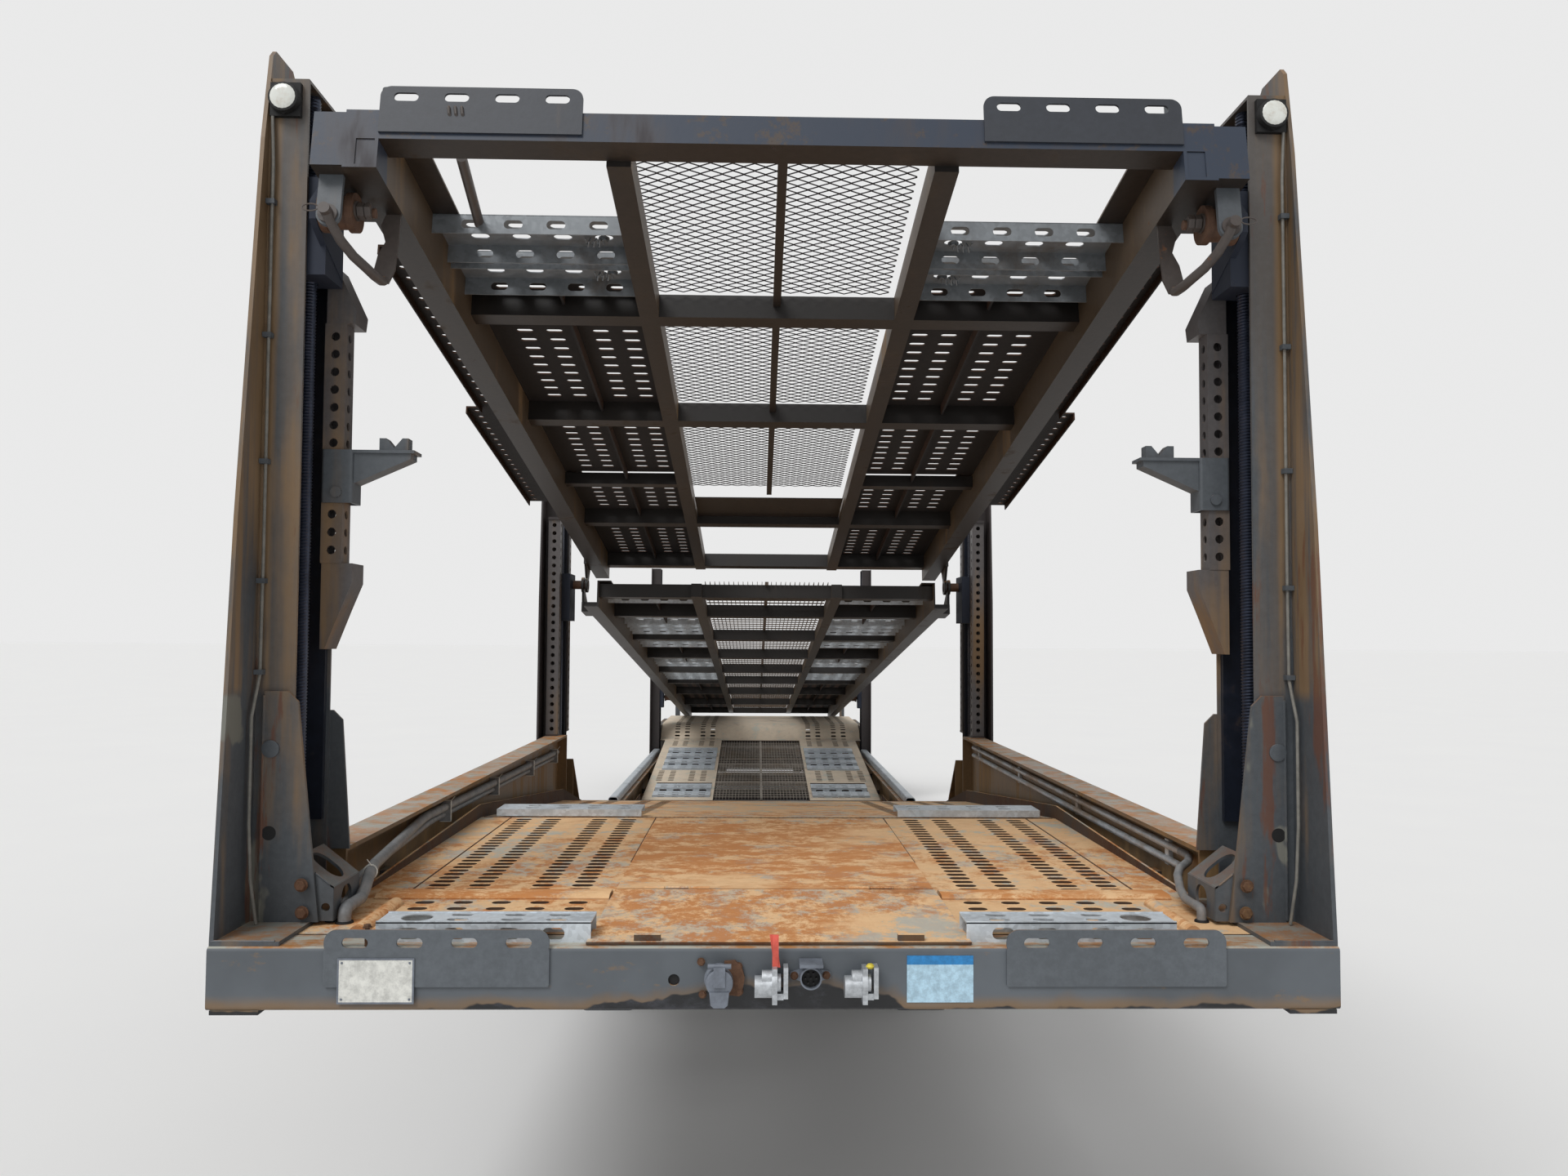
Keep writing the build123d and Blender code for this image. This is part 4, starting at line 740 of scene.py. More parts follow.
class TRANSPORTER_OT_finishes(bpy.types.Operator):
    """Makes the finishes and gives them to the frame's own nodes"""

    bl_idname = "transporter.finishes"
    bl_label = "Finishes"

    def execute(self, context):
        paint, brown, tan, shoe = tone("paint"), tone("brown"), tone("tan"), tone("shoe")
        aged_paint("post paint", darker(paint, 0.62), 0.55, 0.3, 0.6, outer=0.85)
        aged_paint("rail paint", darker(paint, 0.95), 0.05, 0.15, 0.3)
        aged_paint("upper rail paint", shade(46, 50, 58), 0.25, 0.3, 0.3)
        aged_paint("bracket paint", darker(paint, 0.72), 0.3, 0.3, 0.3)
        aged_paint("side frame paint", tone("dust", 0.55), 0.7, 0.4, 0.9)
        aged_paint("mid post paint", darker(brown, 1.2), 0.2, 0.3, 0.6)
        # The under share is painted shade on faces that look down.
        aged_paint("chassis paint", darker(brown, 1.5), 0.2, 0.5, 0.5, under=0.8)
        aged_paint("leg paint", darker(paint, 0.6), 0.3, 0.4, 0.3)
        aged_paint("strut paint", shade(92, 88, 88), 0.6, 0.55, 0.4)
        # The deck beams also get painted shade on the faces that look ahead.
        aged_paint("deck beam", shade(82, 66, 48), 0.45, 0.5, 0.8, under=0.85, ahead=shade(40, 50, 66))
        aged_paint("hanger rust", shade(78, 70, 66), 0.25, 0.8, 0.3)
        crossmember_paint("crossmember paint")
        # Each plate gets painted shade on upright faces, and all but the cover plate on faces that look
        # down.
        rusted_plate("platform plate", darker(tan, 1.45), 0.75, 0.75)
        rusted_plate("hatch plate", darker(tan, 1.5), 0.9, 1.1, (1, 0.8, 1), wall_shade=0.9)
        rusted_plate("cover plate", darker(tan, 1.5), 1.0, 0.6, (0.7, 1, 1), under=False, wall_shade=0.3)
        rusted_plate("deck plate", darker(tan, 0.7), 0.5, 0.3)
        rusted_plate("wheel plate", shade(224, 208, 186), 0.15, 0.5)
        rusted_plate("upper track", darker(tan, 0.5), 0.7, 0.1)
        galvanised("galvanised")
        # Lit and shaded copies of the zinc: painted light on the planks of the platform, rear deck and wheel
        # ramp, painted shade on the front deck's planks.
        galvanised("plank zinc", 0.1, 1.25, 0.4)
        galvanised("deck zinc", 0.45, 0.4, 0.35)
        galvanised("pipe zinc", 0.8)
        for name, (colour, *rest) in DULL_SURFACES.items():
            dull_surface(name, shade(*colour), *rest)
        dull_surface("greasy steel", tone("grease"), 0.35, 0.6, 0.15)
        dull_surface("spool and shoe", shade(92, 66, 50), 0.7, 0.1, 0.3, beyond=(SHOE_INNER_X, shoe))
        dull_surface("guide plastic", darker(shoe, 0.6), 0.4, 0.0, 0.15)
        glossy("lamp lens", shade(226, 228, 222), 0.1)
        glossy("red lens", shade(150, 18, 14))
        glossy("amber lens", shade(222, 120, 20))
        for node, finish in NODE_FINISH.items():
            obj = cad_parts[node]
            obj.data.materials.clear()
            obj.data.materials.append(FINISHES[finish])
        return {"FINISHED"}


class TRANSPORTER_OT_platform(bpy.types.Operator):
    """Builds the slotted front platform with its slope, edge bars and weld seams"""

    bl_idname = "transporter.platform"
    bl_label = "Front platform"

    def execute(self, context):
        sizes = context.scene.trailer_plates
        slot = (sizes.slot_long + 0.004, sizes.slot_wide + 0.008)
        columns = both_sides(0.539, 0.650, 0.825, 0.937)
        wide, thick, kerb_thick = (-1.12, 1.12), 0.006, 0.008
        plate = Shape()
        slotted(plate, wide, (at(0.12), at(0.49)), both_sides(0.519, 0.619, 0.719, 0.818, 0.918),
                [at(0.376), at(0.446)], (0.050, 0.032), PLATFORM_Z - thick, PLATFORM_Z)
        rows = [at(0.608) + number * sizes.platform_pitch for number in range(25)]
        slotted(plate, wide, (at(0.49), at(1.9)), columns, rows, slot, PLATFORM_Z - thick, PLATFORM_Z)
        plate.placing = slope_matrix(SLOPE_START, SLOPE_END)
        length = math.dist(SLOPE_START, SLOPE_END)
        rows = spread(0.08, length - 0.05, sizes.platform_pitch)
        slotted(plate, wide, (0, length), columns, rows, slot, -thick, 0)
        plate.placing = side_view()
        kerb = side_outline((0.47, 1.194), (1.9, 1.194), (3.85, 0.991), (3.85, 1.06), (1.9, 1.25),
                            (0.47, 1.21))
        for x in (wide[0], wide[1] - kerb_thick):
            plate.prism(kerb, x, x + kerb_thick)
        piece(plate, "slotted_platform", "platform plate", ["front_platform"])
        bars = Shape(side_view())
        cross_bar = side_outline((0.480, 1.1975), (0.480, 1.204), (0.494, 1.212), (0.556, 1.212),
                                 (0.566, 1.204), (0.566, 1.1975))
        for side in SIDES:
            bars.prism(cross_bar, *on_side(side, 0.443, 1.06))
        half_round = [on_circle(0.02, math.pi * k / 14) for k in range(15)]
        for side in SIDES:
            bars.placing = front_view(side * 0.986, at(0.125), PLATFORM_Z - 0.002)
            bars.prism(half_round, -0.3, 0)
        piece(bars, "platform_edge_bars", "cover plate")
        seams = Shape()
        for side in SIDES:
            for distance, start, radius, seed in ((0.995, 0.52, 0.0028, 3), (0.44, 1.0, 0.0025, 7)):
                x = side * distance
                seams.weld((x, at(start), PLATFORM_Z), (x, at(1.9), PLATFORM_Z), radius, side + seed)
        seams.weld((-1.1, at(1.9), PLATFORM_Z - 0.001), (1.1, at(1.9), PLATFORM_Z - 0.001), 0.004, 5)
        piece(seams, "platform_seams", "rusty bolt")
        return {"FINISHED"}


# Bays of the upper decks along their own Y, as in the frame: wheel tracks, mesh and planks
FRONT_TRACKS = [(0.840, 0.920), (0.990, 1.860), (1.930, 2.760), (2.810, 3.400), (3.470, 4.380)]
FRONT_MESH = [(0.080, 0.920), (0.990, 1.860), (1.930, 3.000)]
FRONT_PLANKS = [0.460, 0.665]
REAR_TRACKS = [(0.470, 0.760), (0.830, 1.320), (1.970, 2.260), (2.680, 3.060), (3.130, 3.700),
               (4.310, 4.400), (5.430, 6.660), (6.730, 8.240), (8.310, 9.840)]
REAR_PLANKS = [0.100, 0.280, 1.330, 1.510, 1.690, 2.270, 2.450, 3.710, 3.890, 4.420, 4.600, 4.780, 4.960,
               5.140]
TRACK_COLUMNS = [0.491, 0.590, 0.746, 0.845]
TRACK_X = (0.430, 0.955)
PLANK_COLUMNS = [0.500, 0.617, 0.734, 0.851]
PLANK_SLOT, PLANK_THICK, PLANK_TOP = (0.052, 0.026), 0.003, 0.143
RAMP_PLANKS = [0.130, 0.430, 1.262, 1.560, 1.858, 2.156]


def leg_view(y, z):
    """Placing for a plank's leg: its own Y goes down and its Z back."""
    return frame_matrix(Vector((0, y, z)), X_AXIS, DOWN, Y_AXIS)


def plank(shape, x, y, top, deep, columns, rows, slot=PLANK_SLOT, leg_slots=True):
    """Channel plank with slotted top and slotted legs, in the shape's own placing."""
    slotted(shape, x, y, columns, rows, slot, top - PLANK_THICK, top)
    high = deep - PLANK_THICK
    for edge in (y[0], y[1] - PLANK_THICK):
        with shape.placed(leg_view(edge, top - PLANK_THICK)):
            if leg_slots:
                leg_slot = (slot[0], min(slot[1], high * 0.55))
                slotted(shape, x, (0, high), columns, [high / 2], leg_slot, 0, PLANK_THICK)
            else:
                shape.box(x, (0, high), (0, PLANK_THICK))


def crossmember_plank(shape, side):
    """Plank on the crossmember with small slots inwards, a hand hole outwards and slots in its front leg."""
    start, end, top = at(0.044), at(0.139), 1.245
    inner, hand_hole, outer = 0.430, (0.785, 0.888), 0.917
    low = top - PLANK_THICK
    slotted(shape, on_side(side, inner, hand_hole[0]), (start, end), on_side(side, 0.512, 0.615, 0.739),
            [at(0.073), at(0.118)], (0.050, 0.022), low, top)
    shape.plate(on_side(side, *hand_hole), [start, end], low, top,
                {(0, 0): (side * sum(hand_hole) / 2, at(0.0915), 0.072, 0.070)}, 5)
    shape.box(on_side(side, hand_hole[1], outer), (start, end), (low, top))
    for edge, columns in ((start, (0.515, 0.616, 0.740, 0.843)), (end - PLANK_THICK, (0.515, 0.740))):
        with shape.placed(leg_view(edge, low)):
            slotted(shape, on_side(side, inner, outer), (0, 0.042), on_side(side, *columns), [0.0225],
                    (0.051, 0.027), 0, PLANK_THICK)


class TRANSPORTER_OT_deck_tracks(bpy.types.Operator):
    """Builds the slotted wheel tracks of both upper decks, with a rib under each"""

    bl_idname = "transporter.deck_tracks"
    bl_label = "Upper deck tracks"

    def execute(self, context):
        sizes = context.scene.trailer_plates
        slot = (sizes.slot_long, sizes.slot_wide)
        low, high, rib_low = 0.136, 0.141, 0.097
        for end, deck, bays in (("front", FRONT_DECK, FRONT_TRACKS), ("rear", REAR_DECK, REAR_TRACKS)):
            tracks = Shape(deck)
            for bay in bays:
                rows = spread(bay[0] + 0.01, bay[1] - 0.01, sizes.deck_pitch)
                for side in SIDES:
                    slotted(tracks, on_side(side, *TRACK_X), bay, on_side(side, *TRACK_COLUMNS), rows, slot,
                            low, high)
                    tracks.box(on_side(side, 0.664, 0.672), bay, (rib_low, low))
            piece(tracks, f"{end}_slotted_tracks", "upper track", [f"{end}_deck_tracks"],
                  f"{end}_deck")
        return {"FINISHED"}


class TRANSPORTER_OT_planks(bpy.types.Operator):
    """Builds the galvanised planks of the platform and both upper decks"""

    bl_idname = "transporter.planks"
    bl_label = "Galvanised planks"

    def execute(self, context):
        front = Shape(FRONT_DECK)
        for start in FRONT_PLANKS:
            for side in SIDES:
                plank(front, on_side(side, *TRACK_X), (start, start + 0.17), PLANK_TOP, 0.055,
                      on_side(side, *PLANK_COLUMNS), [start + 0.055, start + 0.115])
                inner = side * PLANK_COLUMNS[0]
                front.bolt((inner, start + 0.115, 0.139), DOWN, 0.014)
                spring = [(inner + side * (0.004 * turn), start + 0.108 + 0.012 * math.cos(turn * 1.6),
                           0.121 + 0.012 * math.sin(turn * 1.6)) for turn in range(14)]
                front.tube(spring, 0.0022, 6)
        # Front deck planks in zinc painted in shade.
        piece(front, "front_slotted_planks", "deck zinc", ["front_deck_planks"], "front_deck")
        rear = Shape(REAR_DECK)
        for start in REAR_PLANKS:
            for side in SIDES:
                plank(rear, on_side(side, *TRACK_X), (start, start + 0.165), PLANK_TOP, 0.045,
                      on_side(side, *PLANK_COLUMNS), [start + 0.05, start + 0.115])
        # Rear deck planks in zinc painted lit.
        piece(rear, "rear_slotted_planks", "plank zinc", ["rear_deck_planks"], "rear_deck")
        lower = Shape()
        for side in SIDES:
            plank(lower, on_side(side, 0.5, 1.06), (at(1.935), at(2.08)), 1.226, 0.026,
                  on_side(side, 0.57, 0.69, 0.81, 0.93), [at(1.979), at(2.037)], leg_slots=False)
            crossmember_plank(lower, side)
        # Platform planks in zinc painted lit.
        piece(lower, "platform_slotted_planks", "plank zinc", ["platform_planks"])
        return {"FINISHED"}


class TRANSPORTER_OT_wheel_ramp(bpy.types.Operator):
    """Builds the slotted wheel ramp with its planks, and the slotted wheel deck behind it"""

    bl_idname = "transporter.wheel_ramp"
    bl_label = "Wheel ramp and deck"

    def execute(self, context):
        sizes = context.scene.trailer_plates
        slot, pitch = (0.06, sizes.slot_wide), sizes.platform_pitch
        plate, planks = Shape(), Shape(RAMP)
        thick = (-0.008, 0)
        inner, outer, gap_inner, gap_outer = 0.45, 1.105, 0.48, 1.02
        web = side_outline((8.21, 0.340), (8.9, 0.380), (10.7, 0.579), (11, 0.650), (11, 0.702),
                           (8.21, 0.394))
        fields = (((0.69, 1.25), (0.58, 0.696, 0.894, 1.013), 0.79, 9),
                  ((2.38, RAMP_LONG), (0.559, 0.676, 0.86, 0.975), 2.5, 6))
        for side in SIDES:
            plate.placing = RAMP
            wide = on_side(side, inner, outer)
            for span, columns, first, count in fields:
                rows = [first + pitch * number for number in range(count)]
                slotted(plate, wide, span, on_side(side, *columns), rows, slot, *thick)
            plate.box(wide, (0, 0.11), thick)
            for gap in ((0.11, 0.69), (1.25, 2.38)):
                plate.box(on_side(side, inner, gap_inner), gap, thick)
                plate.box(on_side(side, gap_outer, outer), gap, thick)
            plate.placing = side_view()
            for x in (inner, 1.097):
                plate.prism(web, *on_side(side, x, x + 0.008))
            for start in RAMP_PLANKS:
                plank(planks, on_side(side, gap_inner, gap_outer), (start, start + 0.17), 0.010, 0.045,
                      on_side(side, 0.56, 0.69, 0.81, 0.94), [start + 0.05, start + 0.12], (0.07, 0.024))
        piece(plate, "slotted_wheel_ramp", "wheel plate", ["wheel_ramp"])
        # Wheel ramp planks in zinc painted lit.
        piece(planks, "wheel_ramp_planks", "plank zinc")
        self.wheel_deck(slot, pitch)
        return {"FINISHED"}

    def wheel_deck(self, slot, pitch):
        """Plate that follows the nose over the front axle, the flat top and the tail slope."""
        path = [(11.0, 0.710), (11.13, 0.726), (11.151, 0.752), (11.180, 0.786), (11.215, 0.820),
                (11.262, 0.848), (11.315, 0.866), (11.367, 0.876), (11.42, 0.880), (12.75, 0.880),
                (13.76, 0.738)]
        runs = [0]
        for start, end in zip(path, path[1:]):
            runs.append(runs[-1] + math.dist(start, end))

        def bend(corner):
            x, run, lift = corner
            leg = max(k for k in range(len(path) - 1) if runs[k] <= run + 1e-9)
            (s0, z0), (s1, z1) = path[leg], path[leg + 1]
            length = runs[leg + 1] - runs[leg]
            share = (run - runs[leg]) / length
            return (x, at(s0 + (s1 - s0) * share - lift * (z1 - z0) / length),
                    z0 + (z1 - z0) * share + lift * (s1 - s0) / length)

        deck = Shape()
        rows = [0.06 + pitch * number for number in range(int((runs[-1] - 0.2) / pitch))]
        slotted(deck, (-1.165, 1.165), (0, runs[-1]), both_sides(0.56, 0.676, 0.86, 0.975), rows, slot,
                -0.010, 0, bend)
        for x in (-0.5, 0.49):
            deck.box((x, x + 0.01), (at(11.43), at(12.7)), (0.880, 0.8805))
        piece(deck, "slotted_wheel_deck", "wheel plate", ["wheel_deck"])


# Perforated struts: front station, low end, high end, X of the middle and width
STRUTS = [(0.350, 2.080, 2.700, 1.148, 0.054), (3.970, 1.350, 2.560, 1.205, 0.066),
          (4.310, 1.350, 2.560, 1.205, 0.066)]
STRUT_DEEP, STRUT_WALL = 0.060, 0.005
STRUT_PITCH, STRUT_HOLE = 0.046, (0.023, 0.023)
TOP_WEDGE = [(1.100, 2.700), (1.172, 2.700), (1.172, 2.850), (1.150, 2.850), (1.096, 2.735)]
LOW_WEDGE = [(1.172, 1.860), (1.172, 2.080), (1.094, 2.080), (1.094, 2.030), (1.122, 1.960), (1.160, 1.860)]


class TRANSPORTER_OT_perforated(bpy.types.Operator):
    """Builds the perforated support struts and the perforated side strips of the front deck"""

    bl_idname = "transporter.perforated"
    bl_label = "Struts and side strips"

    def execute(self, context):
        struts = Shape()
        for station, low, high, x, wide in STRUTS:
            rows, half = spread(low, high, STRUT_PITCH), wide / 2
            for side in SIDES:
                for y in (station, station + STRUT_DEEP - STRUT_WALL):
                    struts.placing = front_view(side * x, at(y))
                    slotted(struts, (-half, half), (low, high), [0], rows, STRUT_HOLE, -STRUT_WALL, 0)
                for wall in (-half, half - STRUT_WALL):
                    struts.placing = side_view(side * x + wall, at(station))
                    inside = (STRUT_WALL, STRUT_DEEP - STRUT_WALL)
                    slotted(struts, inside, (low, high), [STRUT_DEEP / 2], rows, STRUT_HOLE, 0, STRUT_WALL)
        struts.placing = front_view(0, at(0.352))
        for side in SIDES:
            for wedge in (TOP_WEDGE, LOW_WEDGE):
                struts.prism([(side * x, z) for x, z in wedge], -0.088, 0)
        piece(struts, "perforated_struts", "strut paint", ["support_struts"])
        strips = Shape(FRONT_DECK)
        low, high, lip, lip_low = 0.144, 0.150, 0.005, 0.120
        for start, end, edge in ((0.65, 1.96, 1.165), (1.96, 3.30, 1.225)):
            for side in SIDES:
                columns = on_side(side, edge - 0.035, edge - 0.13)
                slotted(strips, on_side(side, 0.963, edge), (start, end), columns, spread(start, end, 0.07),
                        (0.026, 0.022), low, high)
                strips.box(on_side(side, edge - lip, edge), (start, end), (lip_low, low))
        piece(strips, "perforated_side_strips", "upper track", ["deck_side_strips"],
              "front_deck")
        return {"FINISHED"}


class TRANSPORTER_OT_expanded_metal(bpy.types.Operator):
    """Weaves the expanded metal between the rails of the front upper deck"""

    bl_idname = "transporter.expanded_metal"
    bl_label = "Expanded metal"

    def execute(self, context):
        sizes = context.scene.trailer_plates
        long, short = sizes.mesh_long, sizes.mesh_short
        half, middle, strand, thick = 0.378, 0.138, 0.0014, 0.0012
        steps = int(2 * half / (long / 2))
        strand_section = ((-strand, -thick), (strand, -thick), (strand, thick), (-strand, thick))
        grid = Shape(FRONT_DECK)
        for start, end in FRONT_MESH:
            for number in range(int((end - start - 0.004) / (short / 2))):
                y = start + 0.006 + number * short / 2
                corners = []
                for step in range(steps + 1):
                    x = -half + step * long / 2
                    turn = 1 if (step + number) % 2 == 0 else -1
                    for along, up in strand_section:
                        corners.append((x, y + turn * short / 4 + along, middle + turn * thick * 0.5 + up))
                grid.add(corners, sleeve_faces(steps + 1, 4))
        piece(grid, "expanded_metal", "mesh steel", ["front_deck_mesh"], "front_deck")
        return {"FINISHED"}


def grating(shape, bars, bar_z, x, y, cross_pitch, cross_z):
    """Grating of bars along Y at given places, and cross bars over X at a pitch."""
    half = 0.0015
    for place in bars:
        shape.box((place - half, place + half), y, bar_z)
    for place in spread(*y, cross_pitch):
        shape.box(x, (place - half, place + half), cross_z)


class TRANSPORTER_OT_gratings(bpy.types.Operator):
    """Fills the middle of the rear deck and of the wheel ramp with bar gratings"""

    bl_idname = "transporter.gratings"
    bl_label = "Bar gratings"

    def execute(self, context):
        deck = Shape(REAR_DECK)
        wide, length = (-0.369, 0.369), (0, 9.94)
        grating(deck, spread(*wide, 0.027), (0.136, 0.149), wide, length, 0.105, (0.138, 0.146))
        deck.box((-0.010, 0.010), length, (0.131, 0.149))
        piece(deck, "rear_deck_bars", "grating brown", ["rear_deck_grating"], "rear_deck")
        ramp = Shape(RAMP)
        wide, length = (-0.45, 0.45), (0.1, 2.78)
        grating(ramp, spread(-0.446, 0.446, 0.0302), (-0.024, -0.004), wide, length, 0.09, (-0.018, -0.006))
        for y in (0.742, 1.164, 1.566, 2.495):
            ramp.box(wide, (y - 0.01, y + 0.01), (-0.031, -0.004))
        ramp.box((-0.012, 0.012), length, (-0.028, -0.004))
        piece(ramp, "wheel_ramp_bars", "ramp bar", ["ramp_grating"])
        return {"FINISHED"}


# Lift screws: station, low end, high end
SCREWS = [(0.290, 1.210, 3.262), (4.140, 0.700, 2.892), (11.030, 0.420, 2.692)]
SCREW_X, SCREW_R, SCREW_SIDES, SCREW_END = 1.195, 0.019, 14, 0.03


class TRANSPORTER_OT_lift_screws(bpy.types.Operator):
    """Cuts the threads of the lift screws"""

    bl_idname = "transporter.lift_screws"
    bl_label = "Lift screws"

    def execute(self, context):
        sizes = context.scene.trailer_running
        pitch = sizes.pitch
        screws = Shape()
        for station, low, high in SCREWS:
            for side in SIDES:
                screws.placing = Matrix.Translation((side * SCREW_X, at(station), 0))
                corners = []
                for row in range(int((high - low) / (pitch / 2)) + 3):
                    radius = SCREW_R if row % 2 else SCREW_R - sizes.thread
                    for step in range(SCREW_SIDES):
                        height = low + (row - 1) * pitch / 2 + pitch * step / SCREW_SIDES - pitch
                        spot = on_circle(radius, math.tau * step / SCREW_SIDES)
                        corners.append((*spot, min(max(height, low), high)))
                faces = [(k, k + 1, k + SCREW_SIDES + 1, k + SCREW_SIDES)
                         for k in range(len(corners) - SCREW_SIDES - 1)]
                screws.add(corners, faces)
                for start, end in ((low, low + SCREW_END), (high - SCREW_END, high)):
                    screws.lathe([(SCREW_R - 0.002, start), (SCREW_R - 0.002, end)], SCREW_SIDES)
        piece(screws, "threaded_screws", "screw steel", ["lift_screws"], crease=60)
        return {"FINISHED"}


# Twin wheels: distances of the tyres, the disc and the nuts from the middle or the axle
TWIN_X, DISC_X, NUT_CIRCLE = (0.871, 1.133), 1.041, 0.1125
BEAD_R, TYRE_HALF_WIDE, GROOVE_DEEP, LUG_DEEP = 0.236, 0.1165, 0.009, 0.007
HAND_HOLES = 8


class TRANSPORTER_OT_wheels(bpy.types.Operator):
    """Moulds the tyres and presses the rims of the twin wheels"""

    bl_idname = "transporter.wheels"
    bl_label = "Twin wheels"

    def execute(self, context):
        sizes = context.scene.trailer_running
        flank = [(BEAD_R, -0.088), (0.262, -0.104), (0.300, -TYRE_HALF_WIDE), (0.338, -0.1155),
                 (0.372, -0.110), (0.390, -0.101), (TYRE_R - 0.001, -0.093)]
        tread = []
        for groove in (-0.052, -0.018, 0.018, 0.052):
            bottom = TYRE_R - GROOVE_DEEP
            tread += [(TYRE_R, groove - 0.006), (bottom, groove - 0.004), (bottom, groove + 0.004),
                      (TYRE_R, groove + 0.006)]
        section = flank + tread + mirrored(flank)[len(flank):]
        shoulder = {5, 6, len(section) - 7, len(section) - 6}
        section += [(BEAD_R - 0.012, 0.088), (BEAD_R - 0.012, -0.088)]
        rim = mirrored([(0.238, -0.100), (0.240, -0.093), (0.222, -0.088), (0.222, -0.060), (0.200, -0.045)])
        rim += mirrored([(0.216, 0.094), (0.214, 0.064), (0.192, 0.050)])

        def lug(row, side):
            return -LUG_DEEP if row in shoulder and side % 3 == 0 else 0

        for name, side in (("front_left", 1), ("front_right", -1), ("rear_left", 1), ("rear_right", -1)):
            low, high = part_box(f"{name}_tyres")
            middle_y = (low.y + high.y) / 2
            tyres, rims = Shape(), Shape()
            for x in TWIN_X:
                tyres.placing = rims.placing = turned_to((side * x, middle_y, TYRE_R), (side, 0, 0))
                tyres.ring(section, 3 * sizes.lugs, lug)
                rims.ring(rim, 64)
            rims.placing = turned_to((side * DISC_X, middle_y, TYRE_R), (side, 0, 0))
            self.disc(rims, sizes.nuts)
            body = f"{name}_wheels"
            piece(tyres, f"{name}_tread_tyres", "tyre rubber", [f"{name}_tyres"], body, 30)
            piece(rims, f"{name}_disc_rims", "rim silver", [f"{name}_rims"], body, 30)
        return {"FINISHED"}

    def disc(self, rims, nuts):
        """Dished disc with its hand holes, the hub and the wheel nuts."""
        sectors, holes = [], {}
        for hole in range(HAND_HOLES):
            sectors += [math.tau * (hole + share) / HAND_HOLES for share in (0, 0.2, 0.8)]
            holes[(3 * hole + 1, 1)] = (math.tau * (hole + 0.5) / HAND_HOLES, 0.165, 0.30, 0.040)
        rims.plate(sectors + [math.tau], [0.058, 0.138, 0.192, 0.2165], -0.008, 0.008, holes, 5,
                   lambda p: (*on_circle(p[1], p[0]), p[2]))
        rims.lathe([(0.135, -0.070), (0.135, 0.012), (0.128, 0.016), (0.092, 0.016), (0.090, 0.055),
                    (0.080, 0.070), (0.078, 0.102), (0.070, 0.110), (0.020, 0.112)], 48)
        for nut in range(nuts):
            spot = on_circle(NUT_CIRCLE, math.tau * nut / nuts)
            rims.rod((*spot, 0.014), (*spot, 0.034), 0.017, 6)
            rims.rod((*spot, 0.014), (*spot, 0.048), 0.010, 10)


class TRANSPORTER_OT_lamps(bpy.types.Operator):
    """Builds the marker lamps on the posts and the lamp clusters at the tail"""

    bl_idname = "transporter.lamps"
    bl_label = "Lamps"

    def execute(self, context):
        low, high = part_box("marker_lamps")
        housing, lens = Shape(), Shape()
        for side in SIDES:
            centre = (side * 1.225, high.y, (low.z + high.z) / 2)
            housing.placing = lens.placing = turned_to(centre, AHEAD)
            housing.lathe([(0.036, 0), (0.038, 0.004), (0.038, 0.020), (0.036, 0.024), (0.036, 0.030),
                           (0.032, 0.0315)], 40)
            for screw in (-0.034, 0.034):
                housing.rod((0, screw, 0.010), (0, screw, 0.022), 0.006, 8)
            housing.box((-0.037, 0.037), (-0.042, 0.042), (0, 0.014))
            lens.lathe([(0.0315, 0.028), (0.031, 0.032), (0.026, 0.0345), (0.018, 0.0355), (0.010, 0.0358),
                        (0.003, 0.0359)], 40, lambda row, step: -0.0006 if step % 2 else 0)
        piece(housing, "marker_lamp_housings", "black insert")
        piece(lens, "marker_lamp_lenses", "lamp lens", ["marker_lamps"])
        low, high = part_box("tail_lamps")
        red, amber, clear = Shape(), Shape(), Shape()
        for side in SIDES:
            for number, shape in enumerate((clear, red, red, amber)):
                x = 0.875 + number * 0.083
                shape.box(on_side(side, x, x + 0.078), (low.y, high.y), (low.z + 0.008, high.z - 0.008))
                for rib in range(6):
                    z = low.z + 0.016 + rib * 0.013
                    shape.box(on_side(side, x + 0.004, x + 0.074), (high.y - 0.001, high.y), (z, z + 0.004))
        piece(red, "tail_lamp_red", "red lens", ["tail_lamps"])
        piece(amber, "tail_lamp_amber", "amber lens")
        piece(clear, "tail_lamp_clear", "lamp lens")
        return {"FINISHED"}


def palm_coupling(shape, x, z):
    """Air coupling seen from its side: body, flange, thumb plate and link."""
    shape.placing = Matrix.Translation((x, FRONT, z))
    shape.rod((0, 0, 0), (0, -0.018, 0), 0.016, 16)
    rounds = ((-0.034, 0.008, -0.008, 0.024, 24), (-0.018, 0.006, 0.010, 0.018, 16),
              (0.004, 0.016, 0, 0.030, 24), (0.016, 0.024, 0, 0.020, 20))
    for start, end, lift, radius, sides in rounds:
        shape.rod((start, -0.030, lift), (end, -0.030, lift), radius, sides)
    shape.box((0.005, 0.016), (-0.052, -0.010), (-0.042, 0.036))
    shape.box((0.016, 0.030), (-0.044, -0.016), (-0.034, -0.020))
    shape.box((0.030, 0.040), (-0.050, -0.012), (-0.030, 0.038))


# Places on the crossmember's face, as (X, height): sockets, empty hole, couplings and bolts
LIDDED_SOCKET, PIN_SOCKET, EMPTY_HOLE = (-0.134, 1.131), (0.069, 1.140), (-0.237, 1.128)
COUPLING_PLACES = ((-0.022, 1.130), (0.178, 1.130))
COUPLING_BOLTS = ((-0.176, 1.170), (-0.172, 1.098), (-0.092, 1.160), (-0.090, 1.104), (0.033, 1.139),
                  (0.105, 1.140))


def from_front(x, z):
    """Placing on the crossmember's front face, with Z ahead."""
    return turned_to((x, FRONT, z), AHEAD)


